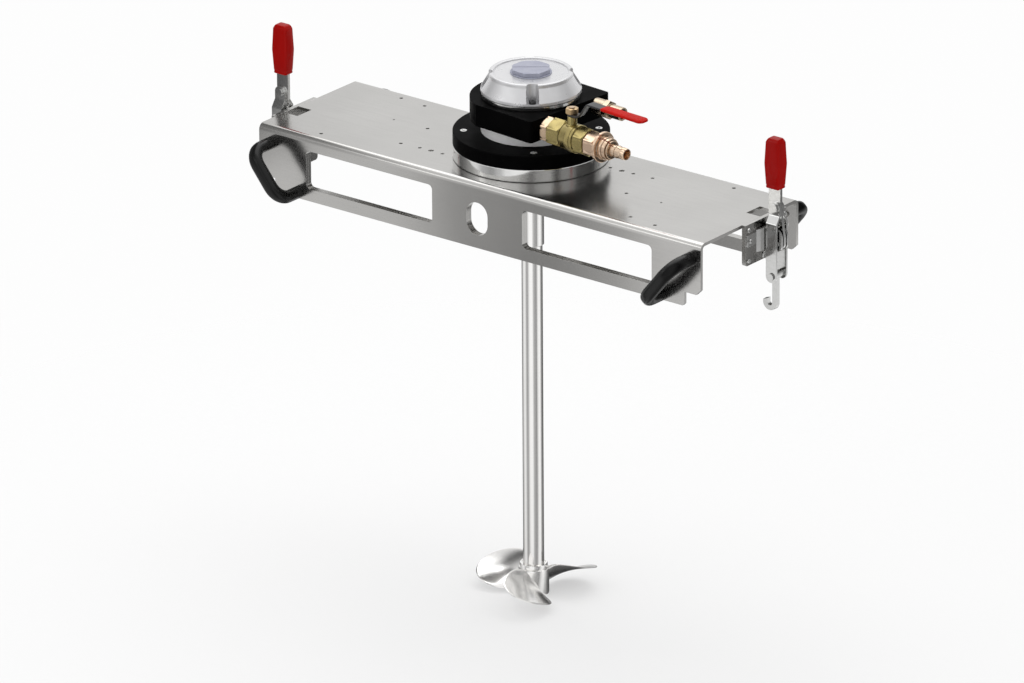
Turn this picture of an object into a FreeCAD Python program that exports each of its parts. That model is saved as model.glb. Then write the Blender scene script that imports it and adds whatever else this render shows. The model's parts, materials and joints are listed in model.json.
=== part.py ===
"""Pneumatic agitator on a clamp-on traverse beam for intermediate bulk containers.

The origin is the middle of the beam in plan, on the seat plane where the raised
end tabs rest on the cage rail.  X runs along the beam, +Z is up, the handles and
the air inlet valve face -Y.  All lengths are millimetres.
"""
import FreeCAD, Part
import math
import os
import Sketcher

DRIVING_SIZES = {
    # Traverse beam: a channel bent from stainless sheet, open downwards
    "beam_length": 1000, "beam_width": 285, "sheet": 6, "inner_bend": 6,
    "seat_depth": 97, "flange_depth": 123.5,
    "foot_length": 36, "foot_chamfer": 10, "heel_chamfer": 4,
    "doubler": 8, "doubler_end": 45, "doubler_gap": 2,
    # Openings of the flanges and the top plate
    "window_inner": 102, "window_outer": 391.5, "window_top": 27.5, "window_bottom": 100,
    "window_corner": 9, "sight_width": 48, "sight_height": 62, "sight_drop": 68,
    "notch_length": 31, "notch_near": 31, "notch_far": 71,
    "shaft_hole": 33, "plate_hole": 3.4,
    # Bridge handles on the flanges
    "handle_x": 444, "handle_drop": 72.5, "handle_pitch": 99, "handle_lean": 51,
    "handle_wide": 30, "handle_thick": 25, "handle_reach": 53, "handle_knee": 30,
    "screw_shank": 3, "screw_head": 6.5, "screw_head_height": 5, "screw_grip": 14,
    # End plates that carry the clamps
    "end_plate": 8, "end_plate_width": 119, "right_plate_drop": 77, "left_plate_drop": 118,
    "plate_corner": 6, "clamp_y": 36.5,
    # Toggle clamps, measured from the outer face of the end plate and the top plate
    "base_pin_x": 30, "base_pin_drop": 42, "lever_pin_x": 24, "lever_pin_rise": 24,
    "trunnion_x": 24.5, "trunnion_drop": 103, "clamp_sheet": 4,
    "lever_wide": 25.5, "lever_thick": 6, "lever_x": 21, "lever_eye": 12,
    "pin_radius": 4, "pin_gap": 0.05, "pin_head": 7.5, "pin_head_height": 3,
    "side_gap": 0.4, "ear_y": 6, "ear_eye": 12, "link_wide": 22.5, "link_eye": 10.5,
    "link_foot": 11.5, "link_y": 13, "joggle_low": -4, "joggle_high": 10,
    "foot_outer": 60, "foot_inner": 29, "foot_top": 18, "foot_bottom": 40, "ear_top": 14,
    "ear_bottom": 56, "trunnion_radius": 7, "trunnion_gap": 0.1,
    "grip_bottom": 60, "grip_top": 153, "grip_wide": 34.5, "grip_deep": 26,
    "grip_corner": 3.5, "grip_end": 0.84,
    "hook_wide": 9, "hook_deep": 10, "hook_x": 22.5, "hook_inner": 5.5, "hook_drop": 157.5,
    "hook_tip": 151, "nut_flats": 17, "nut_height": 6, "clamp_screw": 2.5, "clamp_screw_head": 4.5,
    "clamp_screw_height": 4, "clamp_screw_inset": 7.5, "plate_screw_drop": 10, "plate_screw_low": 67,
    "foot_screw_drop": 29, "stop_screw_y": 7, "stop_screw_drop": 68.5, "stop_screw_head": 6.5,
    # Motor stack: heights are measured up from the top plate
    "axis_x": -10, "axis_y": 28, "stack_turn": 5,
    "disc_radius": 141, "disc_top": 24, "flange_top": 50, "neck_top": 74, "block_top": 115,
    "ring_top": 124.5, "rim_top": 130, "cone_top": 154, "cap_top": 158,
    "flange_screw_pitch": 121, "neck_radius": 90.5, "block_radius": 110, "block_half": 103,
    "block_face": 95.5, "ring_radius": 90, "ring_groove": 1.2, "cone_radius": 76,
    "lip_radius": 4, "lip_rise": 3, "lip_width": 9, "cap_screw_pitch": 80, "cap_screw_floor": 128, "cap_slot": 23,
    "plug_radius": 36.2, "plug_height": 10, "plug_skirt": 37.5, "plug_skirt_height": 2,
    # Inside of the vane motor
    "bore_radius": 60, "rotor_radius": 51.5, "rotor_offset": 7.5, "vane_thick": 4,
    "vane_depth": 18, "vane_reach": 0.8, "running_gap": 0.5, "journal": 15, "output_radius": 14,
    "bearing_radius": 28, "bearing_height": 15, "fit_gap": 0.05, "seal_radius": 25,
    "seal_height": 8,
    # Air inlet on the motor block: lengths are measured out from its right face
    "port_y": 68, "inlet_height": 94.5, "exhaust_height": 99, "port_radius": 9,
    "nipple_flats": 35, "nipple_start": 8.5, "nipple_end": 25, "thread_depth": 14, "thread_radius": 13,
    "valve_flats": 37, "valve_hex_end": 53.5, "valve_radius": 20.5,
    "valve_hex_back": 88, "valve_end": 111, "ridge_radius": 23, "ridge_at": 77.5,
    "ridge_width": 18, "ball_radius": 15, "ball_bore": 8.75, "ball_gap": 0.3,
    "stem_at": 67.5, "boss_radius": 9, "boss_top": 40, "stem_radius": 4.5,
    "lever_sheet": 3.5, "lever_strap": 18, "lever_level": 41.5, "stem_nut_flats": 17,
    "stem_nut_height": 12, "strap_flat": 18, "strap_rise": 30, "strap_slope": 26,
    "sleeve_start": 77, "sleeve_length": 98, "sleeve_wide": 26, "sleeve_thick": 6.5,
    "union_hex_end": 136, "union_flats": 40, "union_ring_start": 139, "union_ring_end": 145,
    "union_ring": 28, "union_nut_end": 161.5, "union_nut": 21, "tail_shoulder": 17, "tail_shoulder_end": 165.5,
    "tail_root": 10.4, "tail_barb": 11.9, "tail_end": 199.5, "tail_tip": 11.3, "tail_bore": 8.75,
    # Exhaust on the same face
    "bush_radius": 14.5, "bush_end": 24, "silencer_flats": 29.5, "silencer_end": 59,
    "silencer_tip": 12.5, "silencer_tip_end": 65,
    # Shaft and propeller: depths are measured down from the top plate
    "sleeve_radius": 22.3, "sleeve_top": 14, "sleeve_bottom": 169, "output_end": 62,
    "shaft_radius": 19.4, "set_screw": 4, "set_screw_drop": 40, "shaft_screw_drop": 140,
    "hub_radius": 28, "hub_top": 796, "hub_bottom": 848, "collar_radius": 25.5, "collar_top": 788,
    "hub_floor": 8, "blade_tip": 120, "blade_lead": 230, "blade_chord": 96, "blade_centre": 815,
    "blade_thick": 4.6, "blade_edge": 1.4, "blade_heading": 60, "blade_root": 24,
    "blade_chord_at": 74,
}

BLADE_COUNT = 3
VANE_COUNT = 4
ROUND = 360

doc = FreeCAD.newDocument("Agitator")
sheet = doc.addObject("Spreadsheet::Sheet", "Sizes")
for row, (alias, number) in enumerate(DRIVING_SIZES.items(), start=1):
    sheet.set("A%d" % row, str(number))
    sheet.setAlias("A%d" % row, alias)
doc.recompute()


class Size:
    """A length or angle that knows its value and the sheet expression behind it."""

    def __init__(self, value, text):
        self.value = value
        self.text = text

    def __add__(self, other):
        return Size(self.value + number_of(other), "(%s + %s)" % (self.text, text_of(other)))

    def __radd__(self, other):
        return Size(number_of(other) + self.value, "(%s + %s)" % (text_of(other), self.text))

    def __sub__(self, other):
        return Size(self.value - number_of(other), "(%s - %s)" % (self.text, text_of(other)))

    def __rsub__(self, other):
        return Size(number_of(other) - self.value, "(%s - %s)" % (text_of(other), self.text))

    def __mul__(self, other):
        return Size(self.value * number_of(other), "(%s * %s)" % (self.text, text_of(other)))

    def __rmul__(self, other):
        return self.__mul__(other)

    def __truediv__(self, other):
        return Size(self.value / number_of(other), "(%s / %s)" % (self.text, text_of(other)))

    def __neg__(self):
        return self * -1


class Sizes:
    """Every driving dimension of the sheet, read by its alias."""

    def __getattr__(self, alias):
        return Size(float(sheet.get(alias)), "Sizes." + alias)


def number_of(item):
    return item.value if isinstance(item, Size) else float(item)


def text_of(item):
    return item.text if isinstance(item, Size) else "(%.9f)" % item


def cosine(angle):
    return Size(math.cos(math.radians(number_of(angle))), "cos(%s)" % text_of(angle))


def sine(angle):
    return Size(math.sin(math.radians(number_of(angle))), "sin(%s)" % text_of(angle))


s = Sizes()
top = s.seat_depth
flange_bottom = s.seat_depth - s.flange_depth
flange_inside = s.beam_width / 2 - s.sheet
doubler_inside = flange_inside - s.doubler
parts = []


def bind(thing, name, size):
    """Sets a property, or a part of a placement, and ties it to the sheet."""
    if "." not in name:
        setattr(thing, name, number_of(size))
    thing.setExpression(name, text_of(size))


def place(thing, base, turn=None, axis=(0, 0, 1)):
    """Puts a body or primitive at a point, turned about an axis by an angle or a Size."""
    rotation = FreeCAD.Rotation(FreeCAD.Vector(*axis), number_of(turn or 0))
    corner = FreeCAD.Vector(*[number_of(part) for part in base])
    thing.Placement = FreeCAD.Placement(corner, rotation)
    for letter, part in zip("xyz", base):
        bind(thing, "Placement.Base." + letter, part)
    if isinstance(turn, Size):
        bind(thing, "Placement.Rotation.Angle", turn)


def new_body(label):
    body = doc.addObject("PartDesign::Body", label)
    body.Label = label
    return body


def sketch_on(body, role, offset=0):
    """A sketch on one of the body's own planes, moved out along the plane's positive axis."""
    plane = [item for item in body.Origin.OriginFeatures if item.Role == role][0]
    sketch = body.newObject("Sketcher::SketchObject", body.Name + "_sketch")
    sketch.AttachmentSupport = (plane, [""])
    sketch.MapMode = "FlatFace"
    along = -offset if role == "XZ_Plane" else offset
    sketch.AttachmentOffset = FreeCAD.Placement(FreeCAD.Vector(0, 0, number_of(along)), FreeCAD.Rotation())
    bind(sketch, "AttachmentOffset.Base.z", along)
    return sketch


def pin_point(sketch, line, end, x, y):
    """Holds one end of a line, or an arc's centre, at a point tied to the sheet."""
    for kind, size in (("DistanceX", x), ("DistanceY", y)):
        index = sketch.addConstraint(Sketcher.Constraint(kind, -1, 1, line, end, number_of(size)))
        sketch.setExpression("Constraints[%d]" % index, text_of(size))


def circle(sketch, x, y, radius):
    centre = FreeCAD.Vector(number_of(x), number_of(y), 0)
    index = sketch.addGeometry(Part.Circle(centre, FreeCAD.Vector(0, 0, 1), number_of(radius)), False)
    pin_point(sketch, index, 3, x, y)
    held = sketch.addConstraint(Sketcher.Constraint("Radius", index, number_of(radius)))
    sketch.setExpression("Constraints[%d]" % held, text_of(radius))


def outline(sketch, corners, closed=True):
    """Straight runs through the corners; a third value rounds that corner with an arc."""
    points = [FreeCAD.Vector(number_of(corner[0]), number_of(corner[1]), 0) for corner in corners]
    count = len(corners)
    runs = count if closed else count - 1
    setback = []
    for index, corner in enumerate(corners):
        if len(corner) < 3:
            setback.append(0.0)
            continue
        before = (points[index - 1] - points[index]).normalize()
        after = (points[(index + 1) % count] - points[index]).normalize()
        setback.append(number_of(corner[2]) / math.tan(before.getAngle(after) / 2))
    lines = []
    for index in range(runs):
        first = points[index]
        last = points[(index + 1) % count]
        way = (last - first).normalize()
        start = first + way * setback[index]
        finish = last - way * setback[(index + 1) % count]
        lines.append(sketch.addGeometry(Part.LineSegment(start, finish), False))
    for index, corner in enumerate(corners):
        here = index if index < runs else None
        before = index - 1 if closed or index > 0 else None
        if len(corner) < 3:
            if here is not None:
                pin_point(sketch, lines[here], 1, corner[0], corner[1])
            if before is not None and here is not None:
                sketch.addConstraint(Sketcher.Constraint("Coincident", lines[before], 2, lines[here], 1))
            elif before is not None:
                pin_point(sketch, lines[before], 2, corner[0], corner[1])
            continue
        round_corner(sketch, lines[before], lines[here], points[index], corner)


def round_corner(sketch, incoming, outgoing, point, corner):
    """An arc tangent to both runs at their corner, which stays as a construction point."""
    start = sketch.Geometry[incoming].EndPoint
    finish = sketch.Geometry[outgoing].StartPoint
    radius = number_of(corner[2])
    bisector = ((start - point).normalize() + (finish - point).normalize()).normalize()
    reach = math.hypot(radius, (start - point).Length)
    centre = point + bisector * reach
    anticlockwise = (start - centre).cross(finish - centre).z > 0
    first, last = (start, finish) if anticlockwise else (finish, start)
    ends = (1, 2) if anticlockwise else (2, 1)
    angles = [math.atan2(end.y - centre.y, end.x - centre.x) for end in (first, last)]
    if angles[1] < angles[0]:
        angles[1] += 2 * math.pi
    whole = Part.Circle(centre, FreeCAD.Vector(0, 0, 1), radius)
    arc = sketch.addGeometry(Part.ArcOfCircle(whole, angles[0], angles[1]), False)
    mark = sketch.addGeometry(Part.Point(point), True)
    pin_point(sketch, mark, 1, corner[0], corner[1])
    sketch.addConstraint(Sketcher.Constraint("PointOnObject", mark, 1, incoming))
    sketch.addConstraint(Sketcher.Constraint("PointOnObject", mark, 1, outgoing))
    sketch.addConstraint(Sketcher.Constraint("Tangent", incoming, 2, arc, ends[0]))
    sketch.addConstraint(Sketcher.Constraint("Tangent", outgoing, 1, arc, ends[1]))
    held = sketch.addConstraint(Sketcher.Constraint("Radius", arc, radius))
    sketch.setExpression("Constraints[%d]" % held, text_of(corner[2]))


def box_corners(left, low, right, high, *corner):
    return [(left, low) + corner, (right, low) + corner, (right, high) + corner, (left, high) + corner]


def polygon_corners(sides, x, y, flats, first=0.0):
    """Corners of a regular polygon given by its width across flats."""
    radius = flats / (2 * math.cos(math.pi / sides))
    angles = [math.radians(first + 360 / sides * step) for step in range(sides)]
    return [(x + radius * math.cos(angle), y + radius * math.sin(angle)) for angle in angles]


def pad(body, sketch, length, through_middle=False):
    """Adds material from the sketch towards the positive side of its plane's axis."""
    feature = body.newObject("PartDesign::Pad", body.Name + "_pad")
    feature.Profile = sketch
    bind(feature, "Length", length)
    feature.SideType = "Symmetric" if through_middle else "One side"
    feature.Reversed = is_front(sketch) and not through_middle
    doc.recompute()
    return feature


def pocket(body, sketch, length, through_middle=False):
    """Cuts from the sketch towards the positive side and makes sure that it cut something."""
    volume = body.Shape.Volume
    feature = body.newObject("PartDesign::Pocket", body.Name + "_pocket")
    feature.Profile = sketch
    bind(feature, "Length", length)
    feature.SideType = "Symmetric" if through_middle else "One side"
    feature.Reversed = not is_front(sketch) and not through_middle
    doc.recompute()
    if feature.Shape.Volume > volume - 0.1:
        raise RuntimeError("%s: a pocket cut nothing" % body.Label)
    return feature


def is_front(sketch):
    return sketch.AttachmentSupport[0][0].Role == "XZ_Plane"


def turned(body, corners, about_x=False):
    """A body of revolution: corners are (radius, z), or (x, radius) about the X axis."""
    sketch = sketch_on(body, "XZ_Plane")
    outline(sketch, corners)
    feature = body.newObject("PartDesign::Revolution", body.Name + "_turned")
    feature.Profile = sketch
    feature.ReferenceAxis = (sketch, ["H_Axis" if about_x else "V_Axis"])
    feature.Angle = ROUND
    doc.recompute()
    return feature


def mirror_front_to_back(body, features):
    """Copies features to the other side of the body's own XZ plane."""
    plane = [item for item in body.Origin.OriginFeatures if item.Role == "XZ_Plane"][0]
    mirror = body.newObject("PartDesign::Mirrored", body.Name + "_mirror")
    mirror.Originals = features
    mirror.MirrorPlane = (plane, [""])
    body.Tip = mirror
    doc.recompute()


def rod(name, radius, length, base, axis, turn=None):
    """A cylinder whose own axis points along the given world direction."""
    cylinder = doc.addObject("Part::Cylinder", name)
    bind(cylinder, "Radius", radius)
    bind(cylinder, "Height", length)
    place(cylinder, base)
    rotation = FreeCAD.Rotation(FreeCAD.Vector(0, 0, 1), FreeCAD.Vector(*axis))
    if turn is not None:
        rotation = FreeCAD.Rotation(FreeCAD.Vector(0, 0, 1), number_of(turn)).multiply(rotation)
    cylinder.Placement.Rotation = rotation
    return cylinder


def fuse(name, pieces):
    joined = doc.addObject("Part::MultiFuse", name)
    joined.Shapes = pieces
    joined.Refine = True
    return joined


def group(label, pieces):
    """Separate solids of one node, such as a set of screws."""
    together = doc.addObject("Part::Compound", label)
    together.Links = pieces
    together.Label = label
    return keep(together)


def keep(thing):
    parts.append(thing)
    return thing


def on_stack(x, y, z):
    """A point of the motor's own frame, which is turned about the shaft axis."""
    across = cosine(s.stack_turn)
    along = sine(s.stack_turn)
    return (s.axis_x + x * across + y * along, s.axis_y - x * along + y * across, top + z)


def stack_body(label):
    body = new_body(label)
    place(body, on_stack(Size(0.0, "0"), Size(0.0, "0"), 0), -s.stack_turn)
    return keep(body)


def port_body(label, port_y, height):
    """A body whose X axis is the centre line of a port on the motor block's right face."""
    body = new_body(label)
    place(body, on_stack(s.block_face, port_y, height), -s.stack_turn)
    return keep(body)


# Traverse beam and its flanges

def cut_flange_openings(body):
    """Two long windows and the upright sight hole, through whatever flange the body has."""
    sketch = sketch_on(body, "XZ_Plane")
    for side in (-1, 1):
        near = s.window_inner * side
        far = s.window_outer * side
        outline(sketch, box_corners(near, top - s.window_bottom, far, top - s.window_top, s.window_corner))
    middle = top - s.sight_drop
    half = s.sight_width / 2
    tall = s.sight_height / 2
    outline(sketch, box_corners(-half, middle - tall, half, middle + tall, half - 0.5))
    pocket(body, sketch, s.beam_width + 2, through_middle=True)


def handle_screw_points():
    """Places of the handle screws on one flange, with whether the doubler lies behind."""
    lean = s.handle_pitch / 2
    for side in (-1, 1):
        for end in (-1, 1):
            x = (s.handle_x + lean * cosine(s.handle_lean) * end) * side
            z = top - s.handle_drop + lean * sine(s.handle_lean) * end
            yield x, z, end < 0


def traverse_beam():
    body = keep(new_body("traverse_beam"))
    half = s.beam_width / 2
    outer_bend = s.inner_bend + s.sheet
    section = sketch_on(body, "YZ_Plane", -s.beam_length / 2)
    outline(section, [
        (-half, flange_bottom), (-half, top, outer_bend), (half, top, outer_bend), (half, flange_bottom),
        (flange_inside, flange_bottom), (flange_inside, top - s.sheet, s.inner_bend),
        (-flange_inside, top - s.sheet, s.inner_bend), (-flange_inside, flange_bottom)])
    pad(body, section, s.beam_length)
    cut_flange_openings(body)
    ends = sketch_on(body, "XZ_Plane")
    for side in (-1, 1):
        end = s.beam_length / 2 * side
        step = (s.beam_length / 2 - s.foot_length) * side
        low = flange_bottom - 1
        outline(ends, [
            (step - s.heel_chamfer * side, low), (step - s.heel_chamfer * side, flange_bottom),
            (step, flange_bottom + s.heel_chamfer), (step, 0), (end - s.foot_chamfer * side, 0),
            (end, s.foot_chamfer), (end + side, s.foot_chamfer), (end + side, low)])
    pocket(body, ends, s.beam_width + 2, through_middle=True)
    screws = sketch_on(body, "XZ_Plane")
    for x, z, behind in handle_screw_points():
        circle(screws, x, z, s.screw_shank + s.fit_gap)
    pocket(body, screws, s.beam_width + 2, through_middle=True)
    plate = sketch_on(body, "XY_Plane", top - s.sheet - 1)
    circle(plate, s.axis_x, s.axis_y, s.shaft_hole)
    for side in (-1, 1):
        end = s.beam_length / 2 * side
        outline(plate, box_corners(end - s.notch_length * side, s.notch_near * side,
                                   end + side, s.notch_far * side))
        for x, y, scale in plate_holes():
            circle(plate, x * side, y * side, s.plate_hole * scale)
    pocket(body, plate, s.sheet + 2)


def plate_holes():
    """Screw and pin holes of one half of the top plate; the other half is turned by 180 degrees."""
    return [(378, 115, 1), (378, -115, 1), (319, -109, 1), (319, -20, 0.6), (242, -21, 1),
            (233, 67, 1), (192, 64, 1), (167, 63, 1.5), (141, 63, 1)]


def doubler_plate(label, facing):
    """Stiffening plate welded to the inside of a flange, with the same openings."""
    body = keep(new_body(label))
    reach = s.beam_length / 2 - s.doubler_end
    high = top - s.sheet - s.inner_bend - s.doubler_gap
    start = -flange_inside if facing < 0 else doubler_inside
    sketch = sketch_on(body, "XZ_Plane", start)
    outline(sketch, box_corners(-reach, flange_bottom, reach, high, s.window_corner))
    pad(body, sketch, s.doubler)
    cut_flange_openings(body)
    screws = sketch_on(body, "XZ_Plane")
    for x, z, behind in handle_screw_points():
        if behind:
            circle(screws, x, z, s.screw_shank + s.fit_gap)
    pocket(body, screws, s.beam_width + 2, through_middle=True)


def bridge_handle(label, side, facing):
    """Moulded bridge handle; its own X runs along the bar and Y out from the flange."""
    body = keep(new_body(label))
    half = s.handle_pitch / 2
    path = sketch_on(body, "XY_Plane")
    outline(path, [(-half, 0), (-half, s.handle_reach, s.handle_knee),
                   (half, s.handle_reach, s.handle_knee), (half, 0)], closed=False)
    section = sketch_on(body, "XZ_Plane")
    wide = s.handle_wide / 2
    thick = s.handle_thick / 2
    outline(section, box_corners(-half - thick, -wide, -half + thick, wide, thick - 0.5))
    doc.recompute()
    pipe = body.newObject("PartDesign::AdditivePipe", label + "_bar")
    pipe.Profile = section
    pipe.Spine = (path, ["Edge%d" % (edge + 1) for edge in range(len(path.Shape.Edges))])
    doc.recompute()
    holes = sketch_on(body, "XZ_Plane")
    for end in (-1, 1):
        circle(holes, half * end, 0, s.screw_shank + s.fit_gap)
    pocket(body, holes, s.screw_grip)
    lean = -s.handle_lean if side * facing < 0 else s.handle_lean
    x = s.handle_x * side
    y = s.beam_width / 2 * facing
    z = top - s.handle_drop
    body.Placement = handle_placement(number_of(x), number_of(y), number_of(z), side, facing)
    for letter, part in zip("xyz", (x, y, z)):
        bind(body, "Placement.Base." + letter, part)
    return lean


def handle_placement(x, y, z, side, facing):
    lean = math.radians(number_of(s.handle_lean))
    bar = FreeCAD.Vector(side * math.cos(lean), 0, math.sin(lean))
    outward = FreeCAD.Vector(0, facing, 0)
    rotation = FreeCAD.Rotation(bar, outward, bar.cross(outward), "XYZ")
    return FreeCAD.Placement(FreeCAD.Vector(x, y, z), rotation)


def handle_screws():
    """Cap screws from inside the beam into the handle legs."""
    screws = []
    for facing in (-1, 1):
        for number, (x, z, behind) in enumerate(handle_screw_points()):
            seat = doubler_inside if behind else flange_inside
            name = "handle_screw_%s_%d" % ("front" if facing < 0 else "rear", number)
            wall = s.doubler + s.sheet if behind else s.sheet
            length = wall + s.screw_grip - 1
            head = rod(name + "_head", s.screw_head, s.screw_head_height, (x, seat * facing, z),
                       (0, -facing, 0))
            shank = rod(name + "_shank", s.screw_shank, length, (x, seat * facing, z), (0, facing, 0))
            screws.append(fuse(name, [head, shank]))
    group("handle_screws", screws)


def end_plate(label, side, drop):
    """Upright plate welded to the end of the top plate; it carries a toggle clamp."""
    body = keep(new_body(label))
    half = s.end_plate_width / 2
    sketch = sketch_on(body, "YZ_Plane")
    outline(sketch, [(-half, -drop, s.plate_corner), (half, -drop, s.plate_corner), (half, 0), (-half, 0)])
    pad(body, sketch, s.end_plate)
    holes = sketch_on(body, "YZ_Plane", -1)
    for y, z, radius in clamp_screw_points():
        circle(holes, y, -z, s.clamp_screw + s.fit_gap)
    pocket(body, holes, s.end_plate + 2)
    place(body, (s.beam_length / 2 * side, s.clamp_y * side, top), 0 if side > 0 else 180)


def clamp_screw_points():
    """Screws of one clamp in its own frame: across, drop and head radius."""
    column = s.end_plate_width / 2 - s.clamp_screw_inset
    for side in (-1, 1):
        yield column * side, s.plate_screw_drop, s.clamp_screw_head
        yield column * side, s.foot_screw_drop, s.clamp_screw_head
        yield column * side, s.plate_screw_low, s.clamp_screw_head
    yield -s.stop_screw_y, s.stop_screw_drop, s.stop_screw_head


# Toggle clamps: each is drawn once in its own frame and placed at both beam ends

def clamp_body(label, side):
    body = new_body(label)
    reach = s.beam_length / 2 + s.end_plate
    place(body, (reach * side, s.clamp_y * side, top), 0 if side > 0 else 180)
    return keep(body)


def at_clamp(side, x, y, z):
    reach = s.beam_length / 2 + s.end_plate
    return ((reach + x) * side, (s.clamp_y + y) * side, top + z)


def clamp_base(label, side):
    """Two stamped halves: a foot on the end plate, a sloping web and an ear for the lever."""
    body = clamp_body(label, side)
    ear = sketch_on(body, "XZ_Plane", s.ear_y)
    pin_x = s.base_pin_x
    pin_z = -s.base_pin_drop
    high = -s.ear_top
    low = -s.ear_bottom
    back = s.clamp_sheet * 2
    outline(ear, [(back, low), (pin_x + s.ear_eye, low, s.ear_eye - 0.5),
                  (pin_x + s.ear_eye, high, s.ear_eye + 3), (back, high)])
    first = pad(body, ear, s.clamp_sheet)
    hole = sketch_on(body, "XZ_Plane", s.ear_y - 1)
    circle(hole, pin_x, pin_z, s.pin_radius + s.pin_gap)
    bore = pocket(body, hole, s.clamp_sheet + 2)
    web = sketch_on(body, "XY_Plane", low)
    near = s.ear_y
    outline(web, [(back, near), (back + s.clamp_sheet, near + s.clamp_sheet),
                  (s.clamp_sheet, s.foot_inner + s.clamp_sheet), (0, s.foot_inner + s.clamp_sheet),
                  (0, s.foot_inner - 1), (back - s.clamp_sheet, near + s.clamp_sheet)])
    second = pad(body, web, high - low)
    foot = sketch_on(body, "YZ_Plane")
    outline(foot, [(s.foot_inner, low), (s.foot_inner + s.clamp_sheet, low, s.clamp_sheet / 2),
                   (s.foot_inner + s.clamp_sheet, -s.foot_bottom), (s.foot_outer, -s.foot_bottom, s.clamp_sheet),
                   (s.foot_outer, -s.foot_top, s.clamp_sheet), (s.foot_inner + s.clamp_sheet, -s.foot_top),
                   (s.foot_inner + s.clamp_sheet, high, s.clamp_sheet / 2), (s.foot_inner, high)])
    third = pad(body, foot, s.clamp_sheet)
    screw = sketch_on(body, "YZ_Plane", -1)
    circle(screw, s.end_plate_width / 2 - s.clamp_screw_inset, -s.foot_screw_drop, s.clamp_screw + s.fit_gap)
    fourth = pocket(body, screw, s.clamp_sheet + 2)
    mirror_front_to_back(body, [first, bore, second, third, fourth])


def clamp_lever(label, side):
    """Flat bar from the eye at the base pin, past the yoke pin, up into the grip."""
    body = clamp_body(label, side)
    half = s.lever_wide / 2
    left = s.lever_x - half
    right = s.lever_x + half
    eye = s.lever_eye
    pin_z = -s.base_pin_drop
    sketch = sketch_on(body, "XZ_Plane", -s.lever_thick / 2)
    outline(sketch, [
        (s.base_pin_x - eye, pin_z - eye, eye - 0.5), (s.base_pin_x + eye, pin_z - eye, eye - 0.5),
        (s.base_pin_x + eye, pin_z + eye, half), (right, s.lever_pin_rise, half),
        (right, s.grip_top - half, 3), (left, s.grip_top - half, 3),
        (left, s.lever_pin_rise - half, half), (s.base_pin_x - eye, pin_z + half, half)])
    pad(body, sketch, s.lever_thick)
    holes = sketch_on(body, "XZ_Plane", -s.lever_thick)
    circle(holes, s.base_pin_x, pin_z, s.pin_radius + s.pin_gap)
    circle(holes, s.lever_pin_x, s.lever_pin_rise, s.pin_radius + s.pin_gap)
    pocket(body, holes, s.lever_thick * 2)


def clamp_grip(label, side):
    """Moulded grip, widest at mid-height, slipped over the lever bar."""
    body = clamp_body(label, side)
    height = s.grip_top - s.grip_bottom
    shares = ((0, s.grip_end), (0.45, 1.0), (0.8, 0.97), (1, 0.8))
    sections = []
    for place_share, width_share in shares:
        sketch = sketch_on(body, "XY_Plane", s.grip_bottom + height * place_share)
        wide = s.grip_wide / 2 * width_share
        deep = s.grip_deep / 2 * width_share
        outline(sketch, box_corners(s.lever_x - wide, -deep, s.lever_x + wide, deep, s.grip_corner))
        sections.append(sketch)
    doc.recompute()
    loft = body.newObject("PartDesign::AdditiveLoft", label + "_loft")
    loft.Profile = sections[0]
    loft.Sections = sections[1:]
    loft.Ruled = False
    doc.recompute()
    slot = sketch_on(body, "XY_Plane", s.grip_bottom - 1)
    half = s.lever_wide / 2
    thick = s.lever_thick / 2
    outline(slot, box_corners(s.lever_x - half, -thick, s.lever_x + half, thick))
    pocket(body, slot, s.grip_top - s.grip_bottom - half + 1)


def clamp_links(label, side):
    """Two joggled plates that hang the hook from the lever."""
    body = clamp_body(label, side)
    inner = s.lever_thick / 2 + s.side_gap
    outer = s.link_y
    foot_z = -s.trunnion_drop - s.link_foot
    head_z = s.lever_pin_rise + s.link_eye
    left = s.lever_pin_x - s.link_wide / 2
    section = sketch_on(body, "YZ_Plane", left)
    outline(section, [
        (outer, foot_z), (outer + s.clamp_sheet, foot_z), (outer + s.clamp_sheet, s.joggle_low, s.clamp_sheet),
        (inner + s.clamp_sheet, s.joggle_high, s.clamp_sheet), (inner + s.clamp_sheet, head_z),
        (inner, head_z), (inner, s.joggle_high, s.clamp_sheet / 2), (outer, s.joggle_low, s.clamp_sheet / 2)])
    strip = pad(body, section, s.link_wide)
    trim = sketch_on(body, "XZ_Plane", inner - 1)
    right = left + s.link_wide
    outline(trim, box_corners(left - 2, foot_z - 2, right + 2, head_z + 2))
    outline(trim, [(left, foot_z, s.link_foot - 0.5), (right, foot_z, s.link_foot - 0.5),
                   (right, head_z, s.link_eye), (left, head_z, s.link_eye)])
    shaped = pocket(body, trim, outer + s.clamp_sheet)
    holes = sketch_on(body, "XZ_Plane", inner - 1)
    circle(holes, s.lever_pin_x, s.lever_pin_rise, s.pin_radius + s.pin_gap)
    circle(holes, s.trunnion_x, -s.trunnion_drop, s.pin_radius + s.trunnion_gap)
    drilled = pocket(body, holes, outer + s.clamp_sheet)
    mirror_front_to_back(body, [strip, shaped, drilled])


def clamp_pin(name, side, x, z, reach, head, head_height):
    """A headed cross pin between the outer faces of two ears or links."""
    direction = (0, side, 0)
    shank = rod(name + "_shank", s.pin_radius, reach * 2, at_clamp(side, x, -reach, z), direction)
    near = rod(name + "_near", head, head_height, at_clamp(side, x, -reach - head_height, z), direction)
    far = rod(name + "_far", head, head_height, at_clamp(side, x, reach, z), direction)
    return fuse(name, [shank, near, far])


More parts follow.
